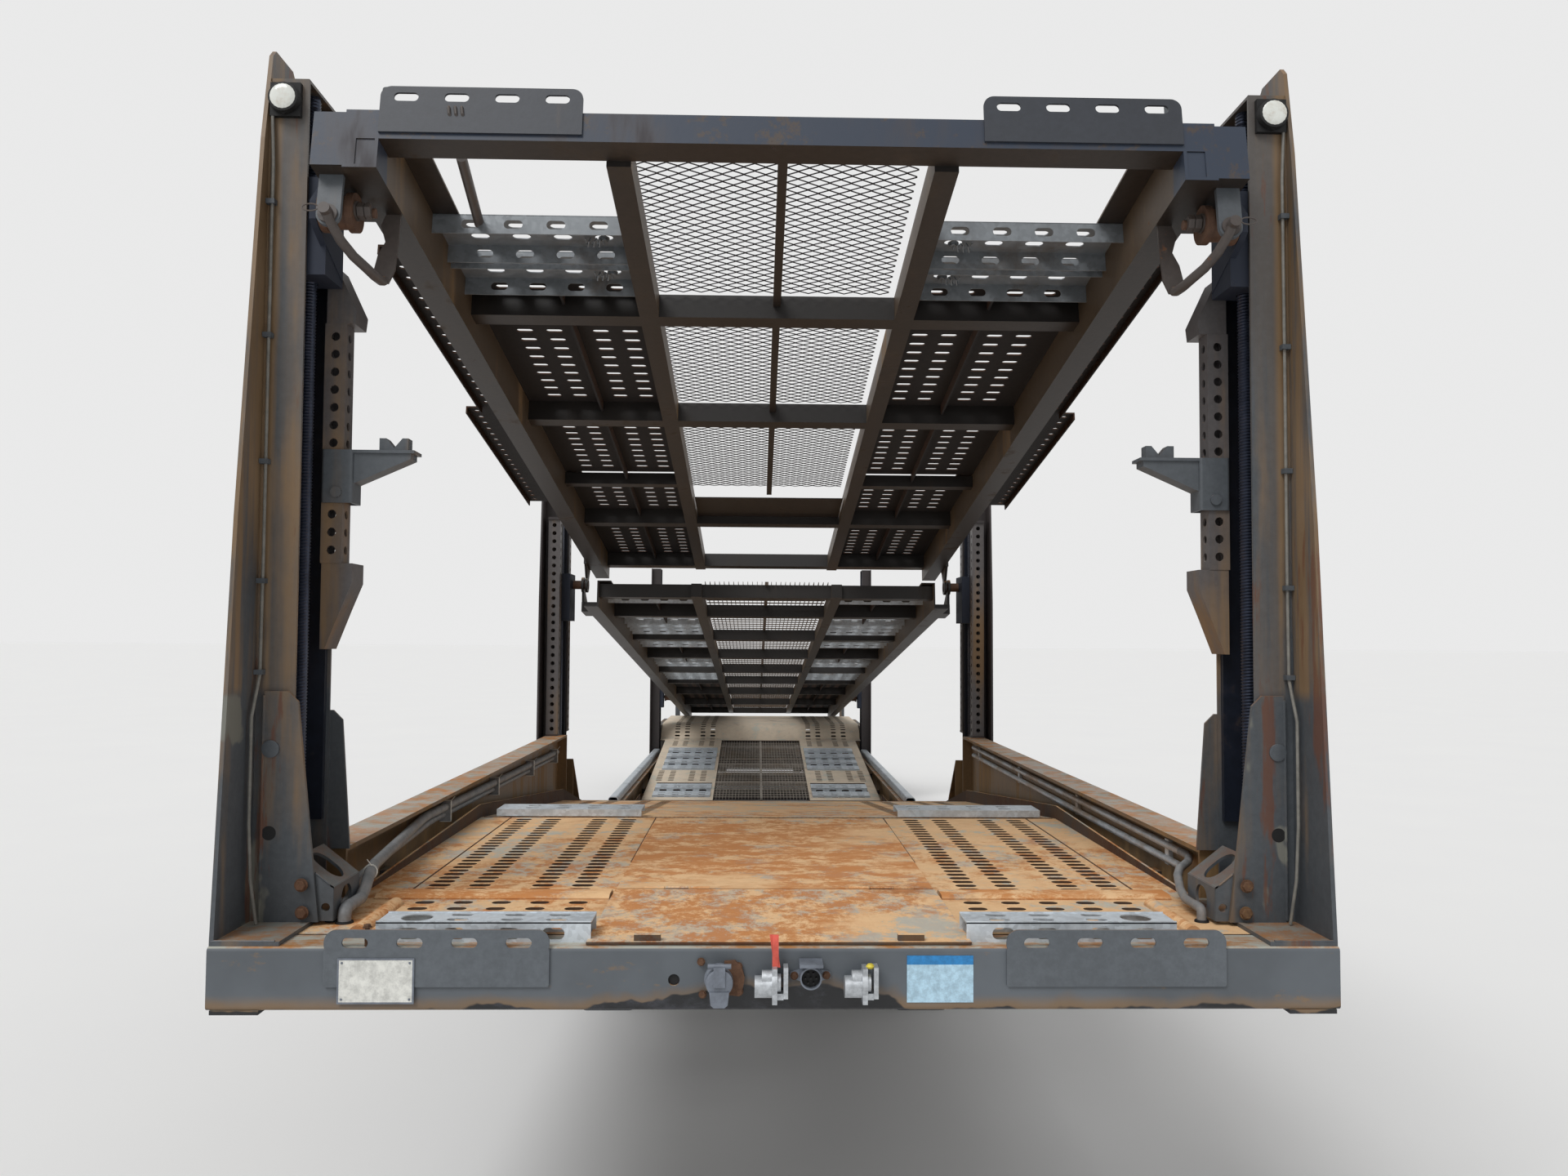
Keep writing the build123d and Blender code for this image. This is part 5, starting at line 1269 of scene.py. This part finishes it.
class TRANSPORTER_OT_couplings(bpy.types.Operator):
    """Builds the air couplings and electric sockets on the front crossmember"""

    bl_idname = "transporter.couplings"
    bl_label = "Service couplings"

    def execute(self, context):
        alloy, bolts, strap, mark = Shape(), Shape(), Shape(), Shape()
        for x, z in COUPLING_PLACES:
            palm_coupling(alloy, x, z)
        piece(alloy, "air_couplings", "cast alloy", ["service_couplings"])
        self.sockets()
        bolts.placing = front_view(-0.104, FRONT, 1.131)
        bolts.prism([(-0.02, -0.032), (0.014, -0.036), (0.022, -0.018), (0.026, 0.006), (0.018, 0.030),
                     (0.004, 0.042), (-0.02, 0.040)], 0, 0.012)
        bolts.placing = Matrix()
        for x, z in COUPLING_BOLTS:
            bolts.bolt((x, FRONT - 0.006, z), AHEAD, 0.008)
        piece(bolts, "coupling_bolts", "rusty bolt")
        strap.placing = Matrix.Translation((-0.008, FRONT - 0.030, 1.176))
        for lean, side in ((0.0, -1), (0.010, 1)):
            strap.plate([0, 0.004, 0.010, 0.014], [0, 0.02, 0.04, 0.06, 0.072], -0.0008, 0.0008,
                        bend=lambda p: (p[0] - 0.007 + side * 0.002 - lean * p[1] / 0.07,
                                        p[2] + side * 0.003 * math.sin(p[1] * 40), p[1] - 0.012))
        piece(strap, "coupling_strap", "red strap")
        mark.placing = turned_to((0.201, FRONT - 0.032, 1.163), Z_AXIS)
        mark.lathe([(0.008, 0), (0.010, 0.004), (0.006, 0.009)], 10)
        piece(mark, "coupling_mark", "yellow mark")
        return {"FINISHED"}

    def sockets(self):
        """Socket with a sprung lid, flanged socket with its pins, and a black disc of painted shade set back
        in the empty hole.
        """
        socket, insert = Shape(from_front(*LIDDED_SOCKET)), Shape(from_front(*PIN_SOCKET))
        socket.lathe([(0.035, 0), (0.035, 0.006), (0.030, 0.010), (0.029, 0.030)], 32)
        socket.lathe([(0.028, 0.030), (0.030, 0.033), (0.030, 0.039), (0.024, 0.042)], 32)
        x, z = LIDDED_SOCKET
        socket.placing = Matrix.Translation((x, FRONT, z))
        socket.box((-0.013, 0.013), (-0.046, -0.036), (-0.008, 0.036))
        socket.rod((-0.026, -0.034, 0.036), (0.026, -0.034, 0.036), 0.006, 12)
        socket.placing = front_view(x, FRONT - 0.040, z)
        socket.prism([(-0.022, -0.018), (0.022, -0.018), (0.019, -0.046), (0.012, -0.052), (-0.012, -0.052),
                      (-0.019, -0.046)], 0, 0.005)
        x, z = PIN_SOCKET
        socket.placing = from_front(x, z)
        socket.ring([(0.024, 0), (0.026, 0.002), (0.0245, 0.036), (0.021, 0.036), (0.021, 0)], 32)
        flange_r, ear, ear_from = 0.026, 0.020, 0.0234
        flange = [on_circle(flange_r, math.tau * k / 24) for k in range(24)]
        flange = [(p + math.copysign(ear, p) if abs(p) > ear_from else p, q) for p, q in flange]
        socket.prism(flange, 0, 0.006)
        socket.placing = Matrix.Translation((x, FRONT, z))
        socket.box((-0.026, 0.026), (-0.060, -0.004), (0.030, 0.037))
        socket.box((-0.017, 0.017), (-0.030, -0.002), (0.022, 0.030))
        piece(socket, "electric_sockets", "grey socket")
        insert.lathe([(0.0208, 0.004), (0.0208, 0.024)], 24)
        for pin in range(6):
            spot = on_circle(0.012, math.tau * pin / 6)
            insert.rod((*spot, 0.020), (*spot, 0.033), 0.0022, 8)
        insert.rod((0, 0, 0.020), (0, 0, 0.033), 0.0026, 8)
        # Black disc set back in the empty hole: painted shade.
        insert.placing = from_front(*EMPTY_HOLE)
        insert.lathe([(0.0128, -0.010), (0.0128, -0.006)], 24)
        piece(insert, "socket_insert", "black insert")


class TRANSPORTER_OT_plates(bpy.types.Operator):
    """Fixes the blank plate and the blank label on the crossmember"""

    bl_idname = "transporter.plates"
    bl_label = "Blank plates"

    def execute(self, context):
        plate, rivets, label, band = Shape(), Shape(), Shape(), Shape()
        (left, right), (low, high) = (-0.983, -0.813), (1.078, 1.178)
        rim, front, back, inset = 0.004, at(-0.009), at(-0.006), 0.010
        plate.box((left + rim, right - rim), (front, back), (low + rim, high - rim))
        for across, up in (((left, right), (low, low + rim)), ((left, right), (high - rim, high)),
                           ((left, left + rim), (low + rim, high - rim)),
                           ((right - rim, right), (low + rim, high - rim))):
            rivets.box(across, (front, back), up)
        for x in (left + inset, right - inset):
            for z in (low + inset, high - inset):
                rivets.placing = turned_to((x, front, z), AHEAD)
                rivets.lathe([(0.0028, 0), (0.0024, 0.0012), (0.0008, 0.0016)], 12)
        piece(plate, "blank_plate", "white plate")
        piece(rivets, "plate_frame_and_rivets", "grey socket")
        across, deep = (0.287, 0.437), (at(-0.0015), at(0))
        label.box(across, deep, (1.078, 1.162))
        band.box(across, deep, (1.162, 1.182))
        piece(label, "blank_label", "pale label")
        piece(band, "label_band", "label blue")
        return {"FINISHED"}


# Welds of the front posts: X and height of the start, of the end, station, radius and seed
POST_WELDS = ((1.2642, 1.77, 1.2642, 3.26, 0.199, 0.004, 11), (1.24, 1.215, 1.24, 1.75, 0.189, 0.0035, 12),
              (1.272, 1.2105, 1.13, 1.2105, 0.012, 0.003, 13),
              (1.078, 1.297, 1.112, 1.324, 0.200, 0.0025, 14))
# Conduit down the front posts: X, station, height
CONDUIT = ((1.256, 0.190, 3.17), (1.250, 0.188, 3.05), (1.252, 0.190, 2.6), (1.250, 0.187, 2.1),
           (1.252, 0.189, 1.80), (1.253, 0.150, 1.70), (1.252, 0.148, 1.45), (1.246, 0.149, 1.32),
           (1.235, 0.160, 1.213))


class TRANSPORTER_OT_post_fittings(bpy.types.Operator):
    """Adds welds, clipped conduits, bolts and bosses to the posts"""

    bl_idname = "transporter.post_fittings"
    bl_label = "Post fittings"

    def execute(self, context):
        welds, bolts, conduit, clips, holes = Shape(), Shape(), Shape(), Shape(), Shape()
        boss_x, face, boss_z, hole_z = 1.222, at(0.190), 1.622, 1.421
        for side in SIDES:
            for x0, z0, x1, z1, station, radius, seed in POST_WELDS:
                welds.weld((side * x0, at(station), z0), (side * x1, at(station), z1), radius, seed)
            with clips.placed(turned_to((side * boss_x, face, boss_z), AHEAD)):
                clips.lathe([(0.021, 0), (0.021, 0.004), (0.017, 0.005)], 24)
            # Thin black disc on the face: the hole drawn as painted shade.
            with holes.placed(turned_to((side * boss_x, face, hole_z), AHEAD)):
                holes.lathe([(0.017, 0), (0.017, 0.0008)], 24)
            for x, z in ((1.138, 1.300), (1.135, 1.235)):
                bolts.bolt((side * x, at(0.180), z), AHEAD, 0.014)
            conduit.tube([(side * x, at(station), z) for x, station, z in CONDUIT], 0.004)
            for z in (2.95, 2.62, 2.31, 2.02, 1.80):
                clips.box(on_side(side, 1.243, 1.264), (at(0.180), at(0.199)), (z, z + 0.012))
        piece(welds, "post_welds", "post paint")
        piece(bolts, "post_bolts", "rusty bolt")
        piece(conduit, "post_conduits", "grey conduit")
        piece(clips, "conduit_clips", "bracket paint")
        piece(holes, "foot_plate_holes", "black insert")
        return {"FINISHED"}


# Foot brackets of the front posts: X of the inner and outer edge, heights, and depth behind their front face
BRACKET_X, BRACKET_SPLIT_X = (1.068, 1.160), 1.108
BRACKET_LOW, BRACKET_FOLD, BRACKET_TOP = 1.2105, 1.291, 1.363
BRACKET_FRONT, BRACKET_DEEP, BRACKET_THICK = at(0.2005), 0.180, 0.007
# Ends of the side cables: X, station, height and radius
CABLE_ENDS = ((-1.050, 0.240, 1.234, 0.015), (-1.085, 0.250, 1.229, 0.010), (1.050, 0.250, 1.232, 0.011))


class TRANSPORTER_OT_foot_brackets(bpy.types.Operator):
    """Folds the foot brackets with their oval holes, and boots the ends of the cables beside them"""

    bl_idname = "transporter.foot_brackets"
    bl_label = "Foot brackets"

    def execute(self, context):
        folded = Shape()
        for side in SIDES:
            self.bracket(folded, side)
        piece(folded, "folded_foot_brackets", "bracket paint", ["foot_brackets"])
        boots, grommets, stud = Shape(), Shape(), Shape()
        for x, start, z, radius in CABLE_ENDS:
            turn, bend = at(start + 0.004), radius * 1.2
            quarter = [math.pi / 2 * k / 6 for k in range(7)]
            bow = [(x, turn - bend * math.sin(angle), z - bend * (1 - math.cos(angle))) for angle in quarter]
            bow = [(x, at(start + 0.03), z), *bow, (x, turn - bend, PLATFORM_Z + 0.001)]
            boots.tube(bow, radius + 0.0008, 18)
            grommets.placing = Matrix.Translation((x, turn - bend, PLATFORM_Z + 0.0005))
            lip = ((0, 0), (0.007, 0), (0.006, 0.004), (0.001, 0.005))
            grommets.ring([(radius + out, height) for out, height in lip], 28)
        piece(boots, "cable_boots", "cable sheath")
        piece(grommets, "cable_grommets", "black insert")
        self.ties()
        foot, head = (-0.925, at(0.012), 1.195), (-0.925, at(0.012), 1.241)
        stud.rod(foot, head, 0.0055)
        stud.bolt(head, Z_AXIS, 0.009)
        piece(stud, "rail_stud", "rusty bolt")
        return {"FINISHED"}

    def bracket(self, folded, side):
        """Closed front in two plates and a gusset, inner plate and slanting top with an oval hole each."""
        (inner, outer), low, fold, top = BRACKET_X, BRACKET_LOW, BRACKET_FOLD, BRACKET_TOP
        split, thick, behind, below = BRACKET_SPLIT_X, BRACKET_THICK, BRACKET_FRONT + 0.001, 0.002
        folded.placing = frame_matrix(Vector((0, BRACKET_FRONT, 0)), side * X_AXIS, Z_AXIS, AHEAD)
        folded.plate([inner + 0.001, split], [low, fold - below], -thick, 0,
                     {(0, 0): (1.087, 1.243, 0.021, 0.020)}, 5)
        folded.prism([(inner + 0.004, fold - below), (outer, fold - below), (outer, top - below)], -thick, 0)
        folded.prism([(split, low), (outer, low), (outer, fold), (split, fold)], -thick, 0)
        folded.placing = frame_matrix(Vector((side * inner, behind, 0)), Y_AXIS, Z_AXIS, side * X_AXIS)
        deep = BRACKET_DEEP
        folded.plate([0, deep], [low, fold], 0, thick, {(0, 0): (0.088, 1.249, 0.074, 0.062)}, 7)
        rise = Vector((side * (outer - inner), 0, top - fold))
        along = rise.normalized()
        square = Vector((side * along.z, 0, -abs(along.x)))
        folded.placing = frame_matrix(Vector((side * inner, behind, fold)), along, Y_AXIS, square)
        folded.plate([0, rise.length], [0, deep], 0, thick, {(0, 0): (0.060, 0.088, 0.092, 0.074)}, 7)
        folded.placing = Matrix()
        bend_x, bend_z = side * (inner + thick), fold - 0.003
        folded.rod((bend_x, behind, bend_z), (bend_x, BRACKET_FRONT + deep, bend_z), thick, 20)

    def ties(self):
        """White ties round the cable and its carrier, and one round the cable alone."""
        ties = Shape()
        half, low, high, edge, wide = 0.021, -0.0365, 0.0375, 0.001, (-0.003, 0.003)
        for station in (1.560, 2.340, 3.120, 3.800):
            middle = 1.274 - (station - 1.400) * 0.0128
            ties.placing = Matrix.Translation((-1.162, at(station + 0.004), middle + 0.001))
            for x in (-half, half):
                ties.box((x - edge, x + edge), wide, (low - edge, high + edge))
            for z in (low, high):
                ties.box((-half - edge, half + edge), wide, (z - edge, z + edge))
            ties.rod((0.020, 0, 0.036), (0.034, -0.003, 0.052), 0.0012, 6)
        ties.placing = Matrix.Translation((-1.0575, at(0.435), 1.281))
        loop = [(0.0175 * math.cos(math.tau * k / 20), 0.004 * math.sin(math.tau * k / 20),
                 0.0175 * math.sin(math.tau * k / 20)) for k in range(21)]
        ties.tube(loop, 0.0022, 6)
        ties.rod((0.004, -0.004, 0.017), (-0.006, -0.010, 0.034), 0.0014, 6)
        piece(ties, "cable_ties", "white tie")


# Corners of the front deck in its own frame: middle, half width and eye height of a hanger arm
ARM_X, ARM_HALF, LOCK_Z = 1.0735, 0.0285, -0.097
# Bent lock bar from its eye to the strap, and the outline of the strap in X and height
LOCK_BAR = ((ARM_X, 0.030, LOCK_Z), (1.066, 0.044, -0.118), (1.052, 0.078, -0.146), (1.032, 0.114, -0.168),
            (1.011, 0.148, -0.181), (1.000, 0.176, -0.187), (0.993, 0.204, -0.186), (0.991, 0.216, -0.180))
STRAP = ((0.961, 0), (0.961, -0.045), (0.965, -0.150), (0.979, -0.186), (1.007, -0.186), (1.017, -0.150),
         (1.010, -0.110), (0.994, -0.075), (1.008, -0.030), (0.997, 0))


class TRANSPORTER_OT_corners(bpy.types.Operator):
    """Builds the hanger arms with their lock bars, the handrail stubs and the small rusty extras"""

    bl_idname = "transporter.corners"
    bl_label = "Deck corners"

    def execute(self, context):
        arms, locks, closings, nuts, extras = [Shape(FRONT_DECK) for number in range(5)]
        eye = [on_circle(ARM_HALF, math.pi + math.pi * k / 12) for k in range(1, 12)]
        arm = [(-ARM_HALF, 0.005), (-ARM_HALF, LOCK_Z), *((x, LOCK_Z + z) for x, z in eye),
               (ARM_HALF, LOCK_Z), (ARM_HALF, 0.005)]
        for side in SIDES:
            x = side * ARM_X
            with arms.placed(front_view(x, 0.054)):
                arms.prism(arm, 0, 0.012)
            with arms.placed(Matrix.Translation((side * 1.024, 0.238, 0.143))):
                arms.ring([(0.0125, 0), (0.015, 0), (0.015, 0.224), (0.0125, 0.224)], 24)
            locks.rod((x, 0.064, LOCK_Z), (x, 0.012, LOCK_Z), 0.014, 20)
            locks.rod((x, 0.042, LOCK_Z), (x, 0.036, LOCK_Z), 0.023, 24)
            locks.tube([(side * px, py, pz) for px, py, pz in LOCK_BAR], 0.012, 14)
            with locks.placed(front_view(0, 0.222)):
                locks.prism([(side * px, pz) for px, pz in STRAP], 0, 0.007)
            loop = [(x + side * (0.012 + 0.019 * (1 - math.cos(math.tau * k / 16))), 0.014,
                     LOCK_Z + 0.009 * math.sin(math.tau * k / 16)) for k in range(17)]
            locks.tube(loop, 0.0018, 6)
            closings.box(on_side(side, 0.962, 1.008), (0.003, 0.262), (0.006, 0.076))
            with nuts.placed(turned_to((side * 1.0355, 0.1185, -0.0465), (-side, 0, 0))):
                nuts.lathe([(0.024, 0), (0.024, 0.004)], 24)
                nuts.lathe([(0.021, 0.006), (0.021, 0.019), (0.018, 0.022)], 6)
                nuts.lathe([(0.021, 0.024), (0.021, 0.034), (0.018, 0.037)], 6)
        extras.rod((-0.80, 0.148, 0.122), (-0.83, 0.474, 0.122), 0.0135, 16)
        coil = [(-0.800 + 0.0022 * k, 0.004 + 0.013 * math.cos(k * 0.9), 0.146 + 0.017 * math.sin(k * 0.9))
                for k in range(22)]
        extras.tube(coil, 0.004)
        piece(arms, "hanger_arms", "bracket paint", ["corner_fittings"], "front_deck")
        piece(locks, "lock_bars", "hanger rust", body="front_deck")
        piece(closings, "corner_closings", "deck beam", body="front_deck")
        piece(nuts, "spool_nuts", "hanger rust", body="front_carriage")
        piece(extras, "deck_brace_and_coil", "hanger rust", body="front_deck")
        return {"FINISHED"}


class TRANSPORTER_OT_stage(bpy.types.Operator):
    """Sets the floor, the soft light and the camera"""

    bl_idname = "transporter.stage"
    bl_label = "Stage"

    def execute(self, context):
        sizes, scene = context.scene.trailer_stage, context.scene
        scene.view_settings.view_transform = "Standard"
        reach = 260
        floor_mesh = bpy.data.meshes.new("floor")
        corners = [(-reach, -reach, 0), (reach, -reach, 0), (reach, reach, 0), (-reach, reach, 0)]
        floor_mesh.from_pydata(corners, [], [(0, 1, 2, 3)])
        look = Finish("studio floor", roughness=0.9)
        look.base = look.mix(look.noise(0.6, 2), (0.88, 0.88, 0.88), (0.91, 0.91, 0.90))
        look.end()
        floor_mesh.materials.append(look.material)
        scene_object("floor", floor_mesh)
        scene.world = self.studio(sizes)
        lamp = bpy.data.lights.new("soft sun", "SUN")
        lamp.energy = sizes.soft_sun
        lamp.angle = math.radians(28)
        holder = scene_object("soft sun", lamp)
        holder.rotation_euler = Vector((0.45, 0.65, -0.9)).to_track_quat("-Z", "Y").to_euler()
        lens = bpy.data.cameras.new("camera")
        lens.lens = sizes.lens
        lens.sensor_width = 36
        lens.clip_end = 400
        level = Vector((math.cos(sizes.yaw), -math.sin(sizes.yaw), 0))
        ahead = Vector((math.sin(sizes.yaw) * math.cos(sizes.pitch),
                        math.cos(sizes.yaw) * math.cos(sizes.pitch), math.sin(sizes.pitch)))
        upright = level.cross(ahead)
        right = level * math.cos(sizes.roll) + upright * math.sin(sizes.roll)
        up = upright * math.cos(sizes.roll) - level * math.sin(sizes.roll)
        place = Vector((sizes.camera_side, FRONT - sizes.camera_ahead, sizes.camera_high))
        scene.camera = scene_object("camera", lens)
        scene.camera.matrix_world = frame_matrix(place, right, up, -ahead)
        return {"FINISHED"}

    def studio(self, sizes):
        """World of even daylight that looks brighter to the camera and in reflections."""
        world = bpy.data.worlds.new("studio")
        world.use_nodes = True
        nodes, links = world.node_tree.nodes, world.node_tree.links
        background = nodes["Background"]
        background.inputs["Color"].default_value = (1, 1, 1, 1)
        path = nodes.new("ShaderNodeLightPath")
        seen = path.outputs["Is Camera Ray"]
        for ray in ("Is Transmission Ray", "Is Glossy Ray"):
            either = nodes.new("ShaderNodeMath")
            either.operation = "MAXIMUM"
            links.new(seen, either.inputs[0])
            links.new(path.outputs[ray], either.inputs[1])
            seen = either.outputs["Value"]
        strength = nodes.new("ShaderNodeMapRange")
        strength.inputs["To Min"].default_value = sizes.daylight
        strength.inputs["To Max"].default_value = sizes.backdrop
        links.new(seen, strength.inputs["Value"])
        links.new(strength.outputs["Result"], background.inputs["Strength"])
        return world


class TRANSPORTER_PT_panel(bpy.types.Panel):
    """Lists the trailer's pieces and settings"""

    bl_idname = "TRANSPORTER_PT_panel"
    bl_label = "Transporter"
    bl_space_type = "VIEW_3D"
    bl_region_type = "UI"
    bl_category = "Transporter"

    def draw(self, context):
        for operator in OPERATORS:
            self.layout.operator(operator.bl_idname)
        for group in GROUPS:
            settings = getattr(context.scene, group)
            box = self.layout.box()
            for name in settings.__annotations__:
                box.prop(settings, name)


OPERATORS = (
    TRANSPORTER_OT_stage,
    TRANSPORTER_OT_finishes,
    TRANSPORTER_OT_platform,
    TRANSPORTER_OT_deck_tracks,
    TRANSPORTER_OT_planks,
    TRANSPORTER_OT_wheel_ramp,
    TRANSPORTER_OT_perforated,
    TRANSPORTER_OT_expanded_metal,
    TRANSPORTER_OT_gratings,
    TRANSPORTER_OT_lift_screws,
    TRANSPORTER_OT_wheels,
    TRANSPORTER_OT_lamps,
    TRANSPORTER_OT_couplings,
    TRANSPORTER_OT_plates,
    TRANSPORTER_OT_post_fittings,
    TRANSPORTER_OT_foot_brackets,
    TRANSPORTER_OT_corners,
)
GROUPS = {
    "trailer_colours": TrailerColours,
    "trailer_plates": PlateSizes,
    "trailer_running": RunningSizes,
    "trailer_stage": StageSizes,
}


def register():
    for group in GROUPS.values():
        bpy.utils.register_class(group)
    for name, group in GROUPS.items():
        setattr(bpy.types.Scene, name, PointerProperty(type=group))
    for panel_or_operator in (*OPERATORS, TRANSPORTER_PT_panel):
        bpy.utils.register_class(panel_or_operator)


def unregister():
    for panel_or_operator in (TRANSPORTER_PT_panel, *reversed(OPERATORS)):
        bpy.utils.unregister_class(panel_or_operator)
    for name in GROUPS:
        delattr(bpy.types.Scene, name)
    for group in reversed(GROUPS.values()):
        bpy.utils.unregister_class(group)


def main():
    register()
    for operator in OPERATORS:
        family, name = operator.bl_idname.split(".")
        getattr(getattr(bpy.ops, family), name)()


if __name__ == "__main__":
    main()
